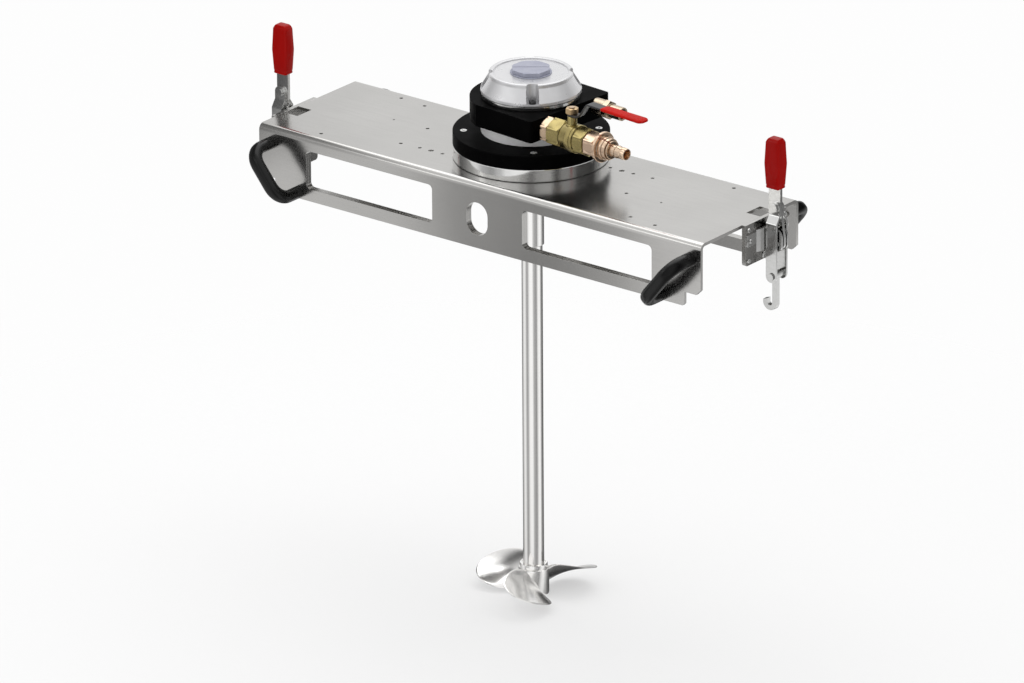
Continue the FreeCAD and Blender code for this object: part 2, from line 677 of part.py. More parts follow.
def clamp_hook(label, side):
    """Flat hook bar with a curl towards the beam, through the trunnion above."""
    body = clamp_body(label, side)
    half = s.hook_wide / 2
    inner = s.hook_inner
    outer = s.hook_inner + s.hook_wide
    back = s.hook_x + half
    front = s.hook_x - half
    tip = front - inner * 2 - s.hook_wide
    low = -s.hook_drop - outer
    sketch = sketch_on(body, "XZ_Plane", -s.hook_deep / 2)
    shoulder = -s.trunnion_drop - s.trunnion_radius
    outline(sketch, [
        (front, shoulder), (front, low + s.hook_wide, inner - 0.3),
        (tip + s.hook_wide, low + s.hook_wide, inner - 0.3), (tip + s.hook_wide, -s.hook_tip),
        (tip, -s.hook_tip - 3), (tip, low, outer - 0.5), (back, low, outer - 0.5), (back, shoulder)])
    pad(body, sketch, s.hook_deep)


def clamp_trunnion(label, side):
    """Cross barrel that the hook shank passes into, with a reduced journal at each end."""
    gap = s.link_y - s.side_gap
    direction = (0, side, 0)
    z = -s.trunnion_drop
    barrel = rod(label + "_barrel", s.trunnion_radius, gap * 2, at_clamp(side, s.trunnion_x, -gap, z), direction)
    reach = s.link_y + s.clamp_sheet + s.side_gap
    journal = rod(label + "_journal", s.pin_radius, reach * 2, at_clamp(side, s.trunnion_x, -reach, z), direction)
    near = rod(label + "_near", s.pin_radius + 2.5, s.pin_head_height,
               at_clamp(side, s.trunnion_x, -reach - s.pin_head_height, z), direction)
    far = rod(label + "_far", s.pin_radius + 2.5, s.pin_head_height,
              at_clamp(side, s.trunnion_x, reach, z), direction)
    foot = doc.addObject("Part::Box", label + "_foot")
    bind(foot, "Length", s.hook_wide)
    bind(foot, "Width", s.hook_deep)
    bind(foot, "Height", s.trunnion_radius)
    low = z - s.trunnion_radius
    corner = at_clamp(side, s.hook_x - s.hook_wide / 2, -s.hook_deep / 2, low)
    place(foot, corner, 0 if side > 0 else 180)
    trunnion = fuse(label, [barrel, journal, near, far, foot])
    trunnion.Label = label
    keep(trunnion)


def clamp_set(side, name):
    end_plate(name + "_end_plate", side, s.right_plate_drop if side > 0 else s.left_plate_drop)
    clamp_base(name + "_clamp_base", side)
    clamp_lever(name + "_clamp_lever", side)
    clamp_grip(name + "_clamp_grip", side)
    clamp_links(name + "_clamp_links", side)
    clamp_trunnion(name + "_trunnion", side)
    clamp_hook(name + "_clamp_hook", side)
    inner = s.lever_thick / 2 + s.side_gap + s.clamp_sheet
    pin = clamp_pin(name + "_lever_pin", side, s.lever_pin_x, s.lever_pin_rise, inner + s.side_gap,
                    s.pin_head, s.pin_head_height)
    pin.Label = name + "_lever_pin"
    keep(pin)


def clamp_fasteners():
    """Base pins and screws of both clamps, which stay with the beam."""
    pins = []
    screws = []
    reach = s.ear_y + s.clamp_sheet
    for side in (-1, 1):
        name = "base_pin_%s" % ("left" if side < 0 else "right")
        pins.append(clamp_pin(name, side, s.base_pin_x, -s.base_pin_drop, reach,
                              s.pin_radius + 1.5, s.pin_head_height / 2))
        for number, (y, drop, head) in enumerate(clamp_screw_points()):
            seat = s.clamp_sheet if number in (1, 4) else Size(0.0, "0")
            name = "clamp_screw_%s_%d" % ("left" if side < 0 else "right", number)
            length = s.end_plate + seat
            shank = rod(name + "_shank", s.clamp_screw, length, at_clamp(side, -s.end_plate, y, -drop), (side, 0, 0))
            cap = rod(name + "_cap", head, s.clamp_screw_height, at_clamp(side, seat, y, -drop), (side, 0, 0))
            screws.append(fuse(name, [shank, cap]))
    group("clamp_base_pins", pins)
    group("clamp_screws", screws)


# Motor stack on the top plate

def plain_disc(label, low, high, radius, bore, edge):
    body = stack_body(label)
    turned(body, [(bore, low), (radius - edge, low), (radius, low + edge), (radius, high - edge),
                  (radius - edge, high), (bore, high)])
    return body


def mounting_disc():
    plain_disc("mounting_disc", 0, s.disc_top, s.disc_radius, s.shaft_hole, 1)


def motor_flange():
    """Black flange with four countersunk screws and a small dowel hole."""
    seal_bore = s.seal_radius + s.fit_gap
    body = plain_disc("motor_flange", s.disc_top, s.flange_top, s.disc_radius, seal_bore, 1)
    holes = sketch_on(body, "XY_Plane", s.flange_top - s.screw_head_height)
    for x, y in flange_screw_points():
        circle(holes, x, y, s.screw_head + s.fit_gap)
    pocket(body, holes, s.screw_head_height + 1)


def flange_screw_points():
    for step in range(4):
        angle = math.radians(-45 + 90 * step)
        yield s.flange_screw_pitch * math.cos(angle), s.flange_screw_pitch * math.sin(angle)


def flange_screws():
    heads = []
    for number, (x, y) in enumerate(flange_screw_points()):
        base = on_stack(x, y, s.flange_top - s.screw_head_height)
        heads.append(rod("flange_screw_%d" % number, s.screw_head, s.screw_head_height, base, (0, 0, 1)))
    group("flange_screws", heads)


def motor_neck():
    """Silver bearing housing between the flange and the block."""
    body = stack_body("motor_neck")
    bearing = s.bearing_radius + s.fit_gap
    seat = s.neck_top - s.bearing_height
    turned(body, [(s.journal + 2, s.flange_top), (s.neck_radius, s.flange_top), (s.neck_radius, s.neck_top),
                  (bearing, s.neck_top), (bearing, seat), (s.journal + 2, seat)])


def manifold_block():
    """Black valve block around the eccentric rotor chamber, rounded on its left side."""
    body = stack_body("manifold_block")
    height = s.block_top - s.neck_top
    half = s.block_half
    wide = s.block_radius + 5
    arc = sketch_on(body, "XY_Plane", s.neck_top)
    circle(arc, 0, 0, s.block_radius)
    pad(body, arc, height)
    right = sketch_on(body, "XY_Plane", s.neck_top)
    outline(right, [(0, -half), (s.block_face, -half, 6), (s.block_face, half, 6), (0, half)])
    pad(body, right, height)
    trim = sketch_on(body, "XY_Plane", s.neck_top - 1)
    for side in (-1, 1):
        outline(trim, box_corners(-wide, half * side, wide, wide * side))
    outline(trim, [(s.block_face, -half + 7), (wide, -half + 7), (wide, half - 7), (s.block_face, half - 7)])
    pocket(body, trim, height + 2)
    chamber = sketch_on(body, "XY_Plane", s.neck_top - 1)
    circle(chamber, s.rotor_offset, Size(0.0, "0"), s.bore_radius)
    pocket(body, chamber, s.block_top - s.neck_top + 2)
    for port_y, height in ((-s.port_y, s.inlet_height), (s.port_y, s.exhaust_height)):
        port = sketch_on(body, "YZ_Plane", s.block_face - s.thread_depth - 1)
        circle(port, port_y, height, s.thread_radius + s.fit_gap)
        pocket(body, port, s.thread_depth + 2)


def motor_ring():
    body = stack_body("motor_ring")
    groove = s.ring_radius - s.ring_groove
    low = s.block_top
    turned(body, [(s.bore_radius + 8, low), (groove, low), (groove, low + 1.5), (s.ring_radius, low + 1.5),
                  (s.ring_radius, s.ring_top - 1.5), (groove, s.ring_top - 1.5), (groove, s.ring_top),
                  (s.bore_radius + 8, s.ring_top)])


def rear_plate():
    """Inner cover of the rotor chamber, inside the ring, with the rear bearing seat."""
    body = stack_body("rear_plate")
    bearing = s.bearing_radius + s.fit_gap
    low = s.block_top
    turned(body, [(s.journal + 2, low), (s.bore_radius + 8 - s.fit_gap, low),
                  (s.bore_radius + 8 - s.fit_gap, s.ring_top), (bearing, s.ring_top),
                  (bearing, s.ring_top - s.bearing_height / 2), (s.journal + 2, s.ring_top - s.bearing_height / 2)])


def cap_screw_points():
    for step in range(4):
        angle = math.radians(-45 + 90 * step)
        yield math.cos(angle), math.sin(angle)


def motor_cap():
    """Polished cap: rim, cone, rounded lip and four open pockets for its screws."""
    body = stack_body("motor_cap")
    rim = s.neck_radius
    inside = s.ring_top + s.bearing_height / 2 + 1
    bearing = s.bearing_radius + s.fit_gap
    turned(body, [(bearing, s.ring_top), (rim, s.ring_top, 1), (rim, s.rim_top, 1.5),
                  (s.cone_radius, s.cone_top, s.lip_radius),
                  (s.cone_radius, s.cap_top + s.lip_rise, s.lip_rise),
                  (s.cone_radius - s.lip_width, s.cap_top + s.lip_rise, s.lip_rise * 0.8),
                  (s.cone_radius - s.lip_width, s.cap_top), (0, s.cap_top), (0, inside), (bearing, inside)])
    slots = sketch_on(body, "XY_Plane", s.cap_screw_floor)
    half = s.cap_slot / 2
    for across, along in cap_screw_points():
        inner = s.cap_screw_pitch - half
        outer = s.cap_screw_pitch + half * 2
        corners = [(inner, -half), (outer, -half), (outer, half), (inner, half)]
        rounding = (half - 1, None, None, half - 1)
        turned_corners = []
        for (x, y), radius in zip(corners, rounding):
            point = (x * across - y * along, x * along + y * across)
            turned_corners.append(point if radius is None else point + (radius,))
        outline(slots, turned_corners)
    pocket(body, slots, s.cap_top + s.lip_rise - s.cap_screw_floor)


def cap_screws():
    screws = []
    for number, (across, along) in enumerate(cap_screw_points()):
        base = on_stack(s.cap_screw_pitch * across, s.cap_screw_pitch * along, s.cap_screw_floor)
        screws.append(rod("cap_screw_%d" % number, s.screw_head, s.screw_head_height, base, (0, 0, 1)))
    group("cap_screws", screws)


def filler_plug():
    """Eight-sided plug with a round skirt and a shallow slot."""
    body = stack_body("filler_plug")
    skirt = sketch_on(body, "XY_Plane", s.cap_top)
    circle(skirt, 0, 0, s.plug_skirt)
    pad(body, skirt, s.plug_skirt_height)
    head = sketch_on(body, "XY_Plane", s.cap_top)
    flats = s.plug_radius * 2 * math.cos(math.pi / 8)
    outline(head, polygon_corners(8, 0, 0, flats, -45 + 22.5))
    pad(body, head, s.plug_height)


# Inside of the motor

def rotor():
    """Slotted drum with its output shaft; it turns about the stack axis."""
    body = stack_body("rotor")
    gap = s.running_gap
    low = s.neck_top + gap
    high = s.block_top - gap
    rear = s.ring_top + s.bearing_height / 2
    turned(body, [(0, -s.output_end), (s.output_radius, -s.output_end), (s.output_radius, s.disc_top),
                  (s.journal, s.disc_top), (s.journal, low), (s.rotor_radius, low), (s.rotor_radius, high),
                  (s.journal, high), (s.journal, rear), (0, rear)])
    slots = sketch_on(body, "XY_Plane", low - 0.1)
    for corners in vane_outlines(s.vane_thick / 2 + s.fit_gap, s.rotor_radius + 1):
        outline(slots, corners)
    pocket(body, slots, high - low + 0.2)


def vane_outlines(half, outer):
    """Radial rectangles round the rotor, from the bottom of the slots to a given radius."""
    inner = s.rotor_radius - s.vane_depth
    for step in range(VANE_COUNT):
        angle = 2 * math.pi * step / VANE_COUNT
        corners = []
        for x, y in ((inner, -half), (outer, -half), (outer, half), (inner, half)):
            corners.append((x * math.cos(angle) - y * math.sin(angle), x * math.sin(angle) + y * math.cos(angle)))
        yield corners


def rotor_vanes():
    body = stack_body("rotor_vanes")
    gap = s.running_gap
    sketch = sketch_on(body, "XY_Plane", s.neck_top + gap)
    for corners in vane_outlines(s.vane_thick / 2, s.rotor_radius + s.vane_reach):
        outline(sketch, corners)
    pad(body, sketch, s.block_top - s.neck_top - gap * 2)


def bearing(label, low, height):
    """A closed rolling bearing, kept as one ring between housing and journal."""
    body = stack_body(label)
    turned(body, [(s.journal + s.fit_gap, low), (s.bearing_radius, low), (s.bearing_radius, low + height),
                  (s.journal + s.fit_gap, low + height)])


def shaft_seal():
    body = stack_body("shaft_seal")
    low = s.flange_top - s.seal_height
    turned(body, [(s.journal + s.fit_gap, low), (s.seal_radius, low), (s.seal_radius, s.flange_top),
                  (s.journal + s.fit_gap, s.flange_top)])


# Air inlet with its ball valve

def inlet_nipple():
    body = port_body("inlet_nipple", -s.port_y, s.inlet_height)
    sketch = sketch_on(body, "YZ_Plane", s.nipple_start)
    outline(sketch, polygon_corners(6, 0, 0, s.nipple_flats, 30))
    pad(body, sketch, s.nipple_end - s.nipple_start)
    stub = sketch_on(body, "YZ_Plane", -s.thread_depth)
    circle(stub, 0, 0, s.thread_radius)
    pad(body, stub, s.thread_depth + s.nipple_end + s.thread_depth)
    bore = sketch_on(body, "YZ_Plane", -s.thread_depth - 1)
    circle(bore, 0, 0, s.port_radius)
    pocket(body, bore, s.thread_depth * 2 + s.nipple_end + 2)


def valve_body():
    """Brass ball valve body: two hexagon ends, a round middle with a ridge and a stem boss."""
    body = port_body("valve_body", -s.port_y, s.inlet_height)
    near = s.ridge_at - s.ridge_width / 2
    far = s.ridge_at + s.ridge_width / 2
    turned(body, [(s.valve_hex_end - 4, 0), (s.valve_hex_end - 4, s.valve_radius), (near, s.valve_radius),
                  (near, s.ridge_radius), (far, s.ridge_radius), (far, s.valve_radius),
                  (s.valve_hex_back + 2, s.valve_radius), (s.valve_hex_back + 2, 0)], about_x=True)
    for start, finish in ((s.nipple_end, s.valve_hex_end), (s.valve_hex_back, s.valve_end)):
        nut = sketch_on(body, "YZ_Plane", start)
        outline(nut, polygon_corners(6, 0, 0, s.valve_flats, 30))
        pad(body, nut, finish - start)
    boss = sketch_on(body, "XY_Plane")
    circle(boss, s.stem_at, 0, s.boss_radius)
    pad(body, boss, s.boss_top)
    passage = sketch_on(body, "YZ_Plane", s.nipple_end - 1)
    circle(passage, 0, 0, s.ball_bore)
    pocket(body, passage, s.valve_end - s.nipple_end + 2)
    for start in (s.nipple_end - 1, s.valve_end - s.thread_depth):
        socket = sketch_on(body, "YZ_Plane", start)
        circle(socket, 0, 0, s.thread_radius + s.fit_gap)
        pocket(body, socket, s.thread_depth + 1)
    chamber = sketch_on(body, "XZ_Plane")
    seat = s.ball_radius + s.ball_gap
    outline(chamber, [(s.stem_at - seat, 0), (s.stem_at - seat, seat), (s.stem_at + seat, seat), (s.stem_at + seat, 0)])
    groove = body.newObject("PartDesign::Groove", "valve_chamber")
    groove.Profile = chamber
    groove.ReferenceAxis = (chamber, ["H_Axis"])
    groove.Angle = ROUND
    doc.recompute()
    stem = sketch_on(body, "XY_Plane")
    circle(stem, s.stem_at, 0, s.stem_radius + s.fit_gap)
    pocket(body, stem, s.boss_top + 1)


def valve_ball():
    """Bored ball: a zone of a sphere turned about the pipe axis."""
    body = port_body("valve_ball", -s.port_y, s.inlet_height)
    bore = number_of(s.ball_bore)
    radius = number_of(s.ball_radius)
    centre = number_of(s.stem_at)
    half = math.sqrt(radius ** 2 - bore ** 2)
    sketch = sketch_on(body, "XZ_Plane")
    whole = Part.Circle(FreeCAD.Vector(centre, 0, 0), FreeCAD.Vector(0, 0, 1), radius)
    low = math.asin(bore / radius)
    arc = sketch.addGeometry(Part.ArcOfCircle(whole, low, math.pi - low), False)
    line = sketch.addGeometry(Part.LineSegment(FreeCAD.Vector(centre - half, bore, 0),
                                               FreeCAD.Vector(centre + half, bore, 0)), False)
    pin_point(sketch, arc, 3, s.stem_at, Size(0.0, "0"))
    sketch.addConstraint(Sketcher.Constraint("Coincident", arc, 2, line, 1))
    sketch.addConstraint(Sketcher.Constraint("Coincident", arc, 1, line, 2))
    sketch.addConstraint(Sketcher.Constraint("Horizontal", line))
    for kind, where, size in (("Radius", (arc,), s.ball_radius), ("DistanceY", (-1, 1, line, 1), s.ball_bore)):
        held = sketch.addConstraint(Sketcher.Constraint(kind, *where, number_of(size)))
        sketch.setExpression("Constraints[%d]" % held, text_of(size))
    feature = body.newObject("PartDesign::Revolution", "valve_ball_turned")
    feature.Profile = sketch
    feature.ReferenceAxis = (sketch, ["H_Axis"])
    feature.Angle = ROUND
    doc.recompute()


def valve_stem():
    base = on_stack(s.block_face + s.stem_at, -s.port_y, s.inlet_height + s.ball_radius)
    length = s.lever_level + s.lever_sheet + s.stem_nut_height - s.ball_radius
    stem = rod("valve_stem", s.stem_radius, length, base, (0, 0, 1))
    stem.Label = "valve_stem"
    keep(stem)


def stem_nut():
    body = port_body("stem_nut", -s.port_y, s.inlet_height)
    level = s.lever_level + s.lever_sheet
    sketch = sketch_on(body, "XY_Plane", level)
    outline(sketch, polygon_corners(6, s.stem_at, 0, s.stem_nut_flats))
    circle(sketch, s.stem_at, 0, s.stem_radius + s.fit_gap)
    pad(body, sketch, s.stem_nut_height)


def strap_line(shift):
    """Side view of the cranked strap, moved up by a shift; heights are above the pipe axis."""
    level = s.lever_level + shift
    bend = s.stem_at + s.strap_flat
    rise = level + s.strap_rise
    end = s.stem_at + s.sleeve_start + s.sleeve_length - 3
    return [(s.stem_at - s.lever_strap / 2, level), (bend, level, 6), (bend + s.strap_slope, rise, 6), (end, rise)]


def valve_lever():
    """Cranked sheet strap: flat on the stem, then up and along the pipe."""
    body = port_body("valve_lever", -s.port_y, s.inlet_height)
    sketch = sketch_on(body, "XZ_Plane", -s.lever_strap / 2)
    low = strap_line(0)
    high = strap_line(s.lever_sheet)
    outline(sketch, low + high[::-1])
    pad(body, sketch, s.lever_strap)
    hole = sketch_on(body, "XY_Plane", s.lever_level - 1)
    circle(hole, s.stem_at, 0, s.stem_radius + s.fit_gap)
    pocket(body, hole, s.lever_sheet + 2)


def lever_sleeve():
    """Dipped plastic sleeve on the outer length of the strap."""
    body = port_body("lever_sleeve", -s.port_y, s.inlet_height)
    middle = s.lever_level + s.strap_rise + s.lever_sheet / 2
    start = s.stem_at + s.sleeve_start
    finish = start + s.sleeve_length
    half = s.sleeve_wide / 2
    sketch = sketch_on(body, "XY_Plane", middle - s.sleeve_thick / 2)
    outline(sketch, [(start, -half * 0.8, 3), (finish, -half, 8), (finish, half, 8), (start, half * 0.8, 3)])
    pad(body, sketch, s.sleeve_thick)
    slot = sketch_on(body, "YZ_Plane", start - 1)
    strap = s.lever_strap / 2
    thick = s.lever_sheet / 2
    outline(slot, box_corners(-strap, middle - thick, strap, middle + thick))
    pocket(body, slot, s.sleeve_length - 2)


def hose_union():
    """Copper-coloured coupling: hexagon, wide ring and a stepped nut."""
    body = port_body("hose_union", -s.port_y, s.inlet_height)
    nut = sketch_on(body, "YZ_Plane", s.valve_end)
    outline(nut, polygon_corners(6, 0, 0, s.union_flats, 30))
    pad(body, nut, s.union_hex_end - s.valve_end)
    ring = sketch_on(body, "YZ_Plane", s.union_ring_start)
    circle(ring, 0, 0, s.union_ring)
    pad(body, ring, s.union_ring_end - s.union_ring_start)
    collar = sketch_on(body, "YZ_Plane", s.union_hex_end)
    circle(collar, 0, 0, s.union_nut)
    pad(body, collar, s.union_nut_end - s.union_hex_end)
    stub = sketch_on(body, "YZ_Plane", s.valve_end - s.thread_depth)
    circle(stub, 0, 0, s.thread_radius)
    pad(body, stub, s.thread_depth)
    bore = sketch_on(body, "YZ_Plane", s.valve_end - s.thread_depth - 1)
    circle(bore, 0, 0, s.tail_bore)
    pocket(body, bore, s.union_nut_end - s.valve_end + s.thread_depth + 2)


def hose_tail():
    """Barbed hose tail with a through bore."""
    body = port_body("hose_tail", -s.port_y, s.inlet_height)
    start = s.union_nut_end
    first = s.tail_shoulder_end
    pitch = (s.tail_end - first) / 3
    corners = [(start, s.tail_bore), (start, s.tail_shoulder), (first, s.tail_shoulder)]
    for step in range(3):
        root = first + pitch * step
        barb = s.tail_tip if step == 2 else s.tail_barb
        corners += [(root, s.tail_root + 1), (root + 2, barb), (root + pitch, s.tail_root)]
    corners.append((s.tail_end, s.tail_bore))
    turned(body, corners, about_x=True)


def exhaust_bush():
    body = port_body("exhaust_bush", s.port_y, s.exhaust_height)
    wall = s.bush_radius
    turned(body, [(-s.thread_depth, s.port_radius), (-s.thread_depth, s.thread_radius), (0, s.thread_radius),
                  (0, wall), (s.bush_end, wall), (s.bush_end, s.port_radius)], about_x=True)


def silencer():
    """Hexagonal exhaust fitting with a short round end."""
    body = port_body("silencer", s.port_y, s.exhaust_height)
    nut = sketch_on(body, "YZ_Plane", s.bush_end)
    outline(nut, polygon_corners(6, 0, 0, s.silencer_flats, 30))
    pad(body, nut, s.silencer_end - s.bush_end)
    tip = sketch_on(body, "YZ_Plane", s.silencer_end)
    circle(tip, 0, 0, s.silencer_tip)
    pad(body, tip, s.silencer_tip_end - s.silencer_end)
    bore = sketch_on(body, "YZ_Plane", s.bush_end - 1)
    circle(bore, 0, 0, s.port_radius)
    pocket(body, bore, s.silencer_tip_end - s.bush_end + 2)


# Shaft and propeller

def coupling_sleeve():
    """Tube that joins the motor's output shaft to the agitator shaft."""
    body = stack_body("coupling_sleeve")
    outer = s.sleeve_radius
    small = s.output_radius + s.fit_gap
    large = s.shaft_radius + s.fit_gap
    turned(body, [(small, -s.sleeve_top), (outer - 1, -s.sleeve_top), (outer, -s.sleeve_top - 1),
                  (outer, -s.sleeve_bottom + 1), (outer - 1, -s.sleeve_bottom), (large, -s.sleeve_bottom),
                  (large, -s.output_end), (small, -s.output_end)])
    holes = sketch_on(body, "XZ_Plane")
    for drop in (s.set_screw_drop, s.shaft_screw_drop):
        circle(holes, 0, -drop, s.set_screw + s.fit_gap)
    pocket(body, holes, s.sleeve_radius + 1)


def coupling_screws():
    """Set screws that grip the two shafts in the sleeve."""
    screws = []
    for name, drop, shaft in (("upper", s.set_screw_drop, s.output_radius), ("lower", s.shaft_screw_drop, s.shaft_radius)):
        length = s.sleeve_radius - shaft - s.fit_gap
        base = on_stack(Size(0.0, "0"), shaft + s.fit_gap, -drop)
        screws.append(rod("coupling_screw_" + name, s.set_screw, length, base, (0, 1, 0), -s.stack_turn))
    group("coupling_screws", screws)


def agitator_shaft():
    body = stack_body("agitator_shaft")
    low = -s.hub_bottom + s.hub_floor
    high = -s.output_end
    radius = s.shaft_radius
    turned(body, [(0, low), (radius - 2, low), (radius, low + 2), (radius, high - 1), (radius - 1, high), (0, high)])


def blade_section(radius):
    """Closed lens section of one blade at a radius, pitched to its helix."""
    reach = number_of(s.blade_tip)
    root = number_of(s.blade_root)
    widest = number_of(s.blade_chord_at)
    side = (reach - widest) if radius > widest else (widest - root) * 1.12
    share = math.sqrt(max(0.0, 1 - ((radius - widest) / side) ** 2))
    chord = max(number_of(s.blade_chord) * share, 7.0)
    lead = number_of(s.blade_lead) / (2 * math.pi)
    slope = math.atan2(lead, radius)
    thick = number_of(s.blade_thick) * (1 - 0.55 * (radius - root) / (reach - root))
    edge = number_of(s.blade_edge) / 2
    upper = []
    lower = []
    along = FreeCAD.Vector(0, math.cos(slope), -math.sin(slope))
    normal = FreeCAD.Vector(0, math.sin(slope), math.cos(slope))
    for step in range(7):
        share = step / 3 - 1
        half = max(edge, thick / 2 * (1 - share * share))
        middle = FreeCAD.Vector(radius, 0, 0) + along * (chord / 2 * share)
        upper.append(middle + normal * half)
        lower.append(middle - normal * half)
    over = Part.BSplineCurve()
    over.interpolate(upper)
    under = Part.BSplineCurve()
    under.interpolate(lower[::-1])
    tail = Part.LineSegment(upper[-1], lower[-1])
    nose = Part.LineSegment(lower[0], upper[0])
    return Part.Wire([over.toShape(), tail.toShape(), under.toShape(), nose.toShape()])


def propeller_blades():
    """Three oval marine blades on a helix, as one casting with the hub's boss."""
    reach = number_of(s.blade_tip)
    root = number_of(s.blade_root)
    shares = (0, 0.18, 0.4, 0.62, 0.8, 0.92, 0.985, 1)
    sections = [blade_section(root + (reach - root) * share) for share in shares]
    blade = Part.makeLoft(sections, True, False)
    centre = FreeCAD.Vector(number_of(s.axis_x), number_of(s.axis_y), number_of(top - s.blade_centre))
    blades = []
    for step in range(BLADE_COUNT):
        heading = number_of(s.blade_heading) + 360 / BLADE_COUNT * step
        copy = doc.addObject("Part::Feature", "blade_%d" % step)
        copy.Shape = blade
        copy.Placement = FreeCAD.Placement(centre, FreeCAD.Rotation(FreeCAD.Vector(0, 0, 1), heading))
        blades.append(copy)
    return blades


def propeller():
    axis = (s.axis_x, s.axis_y)
    height = s.hub_bottom - s.hub_top
    boss = rod("propeller_boss", s.hub_radius, height, axis + (top - s.hub_bottom,), (0, 0, 1))
    rounded = doc.addObject("Part::Fillet", "propeller_round")
    rounded.Base = boss
    doc.recompute()
    rims = [number + 1 for number, edge in enumerate(boss.Shape.Edges) if edge.Closed]
    rounded.Edges = [(number, 3, 3) for number in rims]
    joined = fuse("propeller_casting", [rounded] + propeller_blades())
    bore = rod("propeller_bore", s.shaft_radius + s.fit_gap, height, axis + (top - s.hub_bottom + s.hub_floor,),
               (0, 0, 1))
    cut = doc.addObject("Part::Cut", "propeller")
    cut.Base = joined
    cut.Tool = bore
    cut.Label = "propeller"
    keep(cut)


def propeller_collar():
    """Slotted clamp collar above the hub."""
    body = stack_body("propeller_collar")
    inner = s.shaft_radius + s.fit_gap
    outer = s.collar_radius
    turned(body, [(inner, -s.hub_top), (outer, -s.hub_top), (outer, -s.collar_top - 1),
                  (outer - 1, -s.collar_top), (inner, -s.collar_top)])


def build():
    traverse_beam()
    doubler_plate("front_doubler", -1)
    doubler_plate("rear_doubler", 1)
    for side, side_name in ((-1, "left"), (1, "right")):
        for facing, face_name in ((-1, "front"), (1, "rear")):
            bridge_handle("handle_%s_%s" % (face_name, side_name), side, facing)
    handle_screws()
    clamp_set(-1, "left")
    clamp_set(1, "right")
    clamp_fasteners()
    mounting_disc()
    motor_flange()
    flange_screws()
    motor_neck()
    manifold_block()
    motor_ring()
    rear_plate()
    motor_cap()
    cap_screws()
    filler_plug()
    rotor()
    rotor_vanes()
    bearing("front_bearing", s.neck_top - s.bearing_height, s.bearing_height)
    bearing("rear_bearing", s.ring_top - s.bearing_height / 2, s.bearing_height)
    shaft_seal()
    inlet_nipple()
    valve_body()
    valve_ball()
    valve_stem()
    stem_nut()
    valve_lever()
    lever_sleeve()
    hose_union()
    hose_tail()
    exhaust_bush()
    silencer()
    coupling_sleeve()
    coupling_screws()
    agitator_shaft()
    propeller()
    propeller_collar()


def check_and_write():
    doc.recompute()
    for thing in doc.Objects:
        if "Invalid" in thing.State or "Error" in thing.State:
            raise RuntimeError("%s failed: %s" % (thing.Name, thing.State))
    for part in parts:
        if part.Shape.isNull() or not part.Shape.isValid():
            raise RuntimeError("%s has no valid shape" % part.Label)
    os.makedirs("parts", exist_ok=True)
    for part in parts:
        part.Shape.exportStep(os.path.join("parts", part.Label + ".step"))
    print(len(parts), "parts written")


build()
check_and_write()
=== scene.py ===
import json
import math

import bmesh
import bpy
from mathutils import Matrix, Vector


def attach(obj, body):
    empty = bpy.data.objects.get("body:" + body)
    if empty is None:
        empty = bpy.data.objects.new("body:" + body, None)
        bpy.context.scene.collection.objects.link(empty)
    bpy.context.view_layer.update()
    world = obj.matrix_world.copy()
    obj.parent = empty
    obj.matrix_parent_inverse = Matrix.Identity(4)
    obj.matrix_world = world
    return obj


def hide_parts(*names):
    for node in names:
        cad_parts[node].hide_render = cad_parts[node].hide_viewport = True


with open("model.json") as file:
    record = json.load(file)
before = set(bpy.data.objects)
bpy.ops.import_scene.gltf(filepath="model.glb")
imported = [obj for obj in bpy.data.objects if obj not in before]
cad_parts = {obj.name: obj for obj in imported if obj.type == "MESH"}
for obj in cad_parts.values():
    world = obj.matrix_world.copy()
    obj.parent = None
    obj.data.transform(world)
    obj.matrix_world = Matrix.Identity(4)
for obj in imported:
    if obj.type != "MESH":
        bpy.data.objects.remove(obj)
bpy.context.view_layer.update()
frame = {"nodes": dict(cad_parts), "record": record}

nodes = frame["nodes"]

# Places in metres, the same as in the part's own source
TOP = 0.097                             # upper face of the beam's plate
AXIS = Vector((-0.010, 0.028, TOP))     # where the motor's axis leaves the plate
STACK_TURN = math.radians(-5)
FLANGE_POCKET = 0.045                   # floors of the screws' pockets, above the plate
CAP_POCKET = 0.128
CAP_TOP = 0.158
PLUG_TOP = 0.168
FLANGE_SCREWS = 0.121                   # radii of the circles that the screws stand on
CAP_SCREWS = 0.080
FACE = 0.0955                           # the block's face with both ports, from the axis
PORT_Y = 0.068
INLET_HEIGHT = 0.0945
EXHAUST_HEIGHT = 0.099
STEM_AT = 0.0675                        # the valve's stem, from the face
STEM_BOSS = 0.020                       # feet of boss and nut, above the pipe's axis
STEM_NUT = 0.045
CLAMP_X = 0.508                         # outer faces of the clamps' plates
CLAMP_Y = 0.0365
HANDLE_X = 0.444
HANDLE_Y = 0.1425                       # outer faces of the beam's flanges
HANDLE_DROP = 0.0725                    # drops are measured down from the plate
COLLAR_DROP = 0.796
BLADE_DROP = 0.815
HUB_DROP = 0.848
FLOOR_HEIGHT = -0.7525

# Sizes in millimetres that several profiles share
PORT_RADIUS = 9
BORE = 8.75                             # radius of the air's way
STEM_BORE = 4.6
COLLAR_BORE = 19.5
BLADE_ROOT, BLADE_TIP = 24.0, 120.0


# Materials

EDGE_RADIUS = 0.0005                    # every edge is shaded as if it were this round
EDGE_LEAN_FROM, EDGE_LEAN_TO = 0.004, 0.12        # how far a normal leans where edge wear and painted highlight start and are full
METAL_EDGE_REACH = 0.0006                     # how far edge wear and painted highlight reach in from an edge
BLACK_EDGE_REACH = 0.0005
PLASTIC_EDGE_REACH = 0.0009
MIX_A, MIX_B, MIX_RESULT = 6, 7, 2      # colour sockets of a Mix node


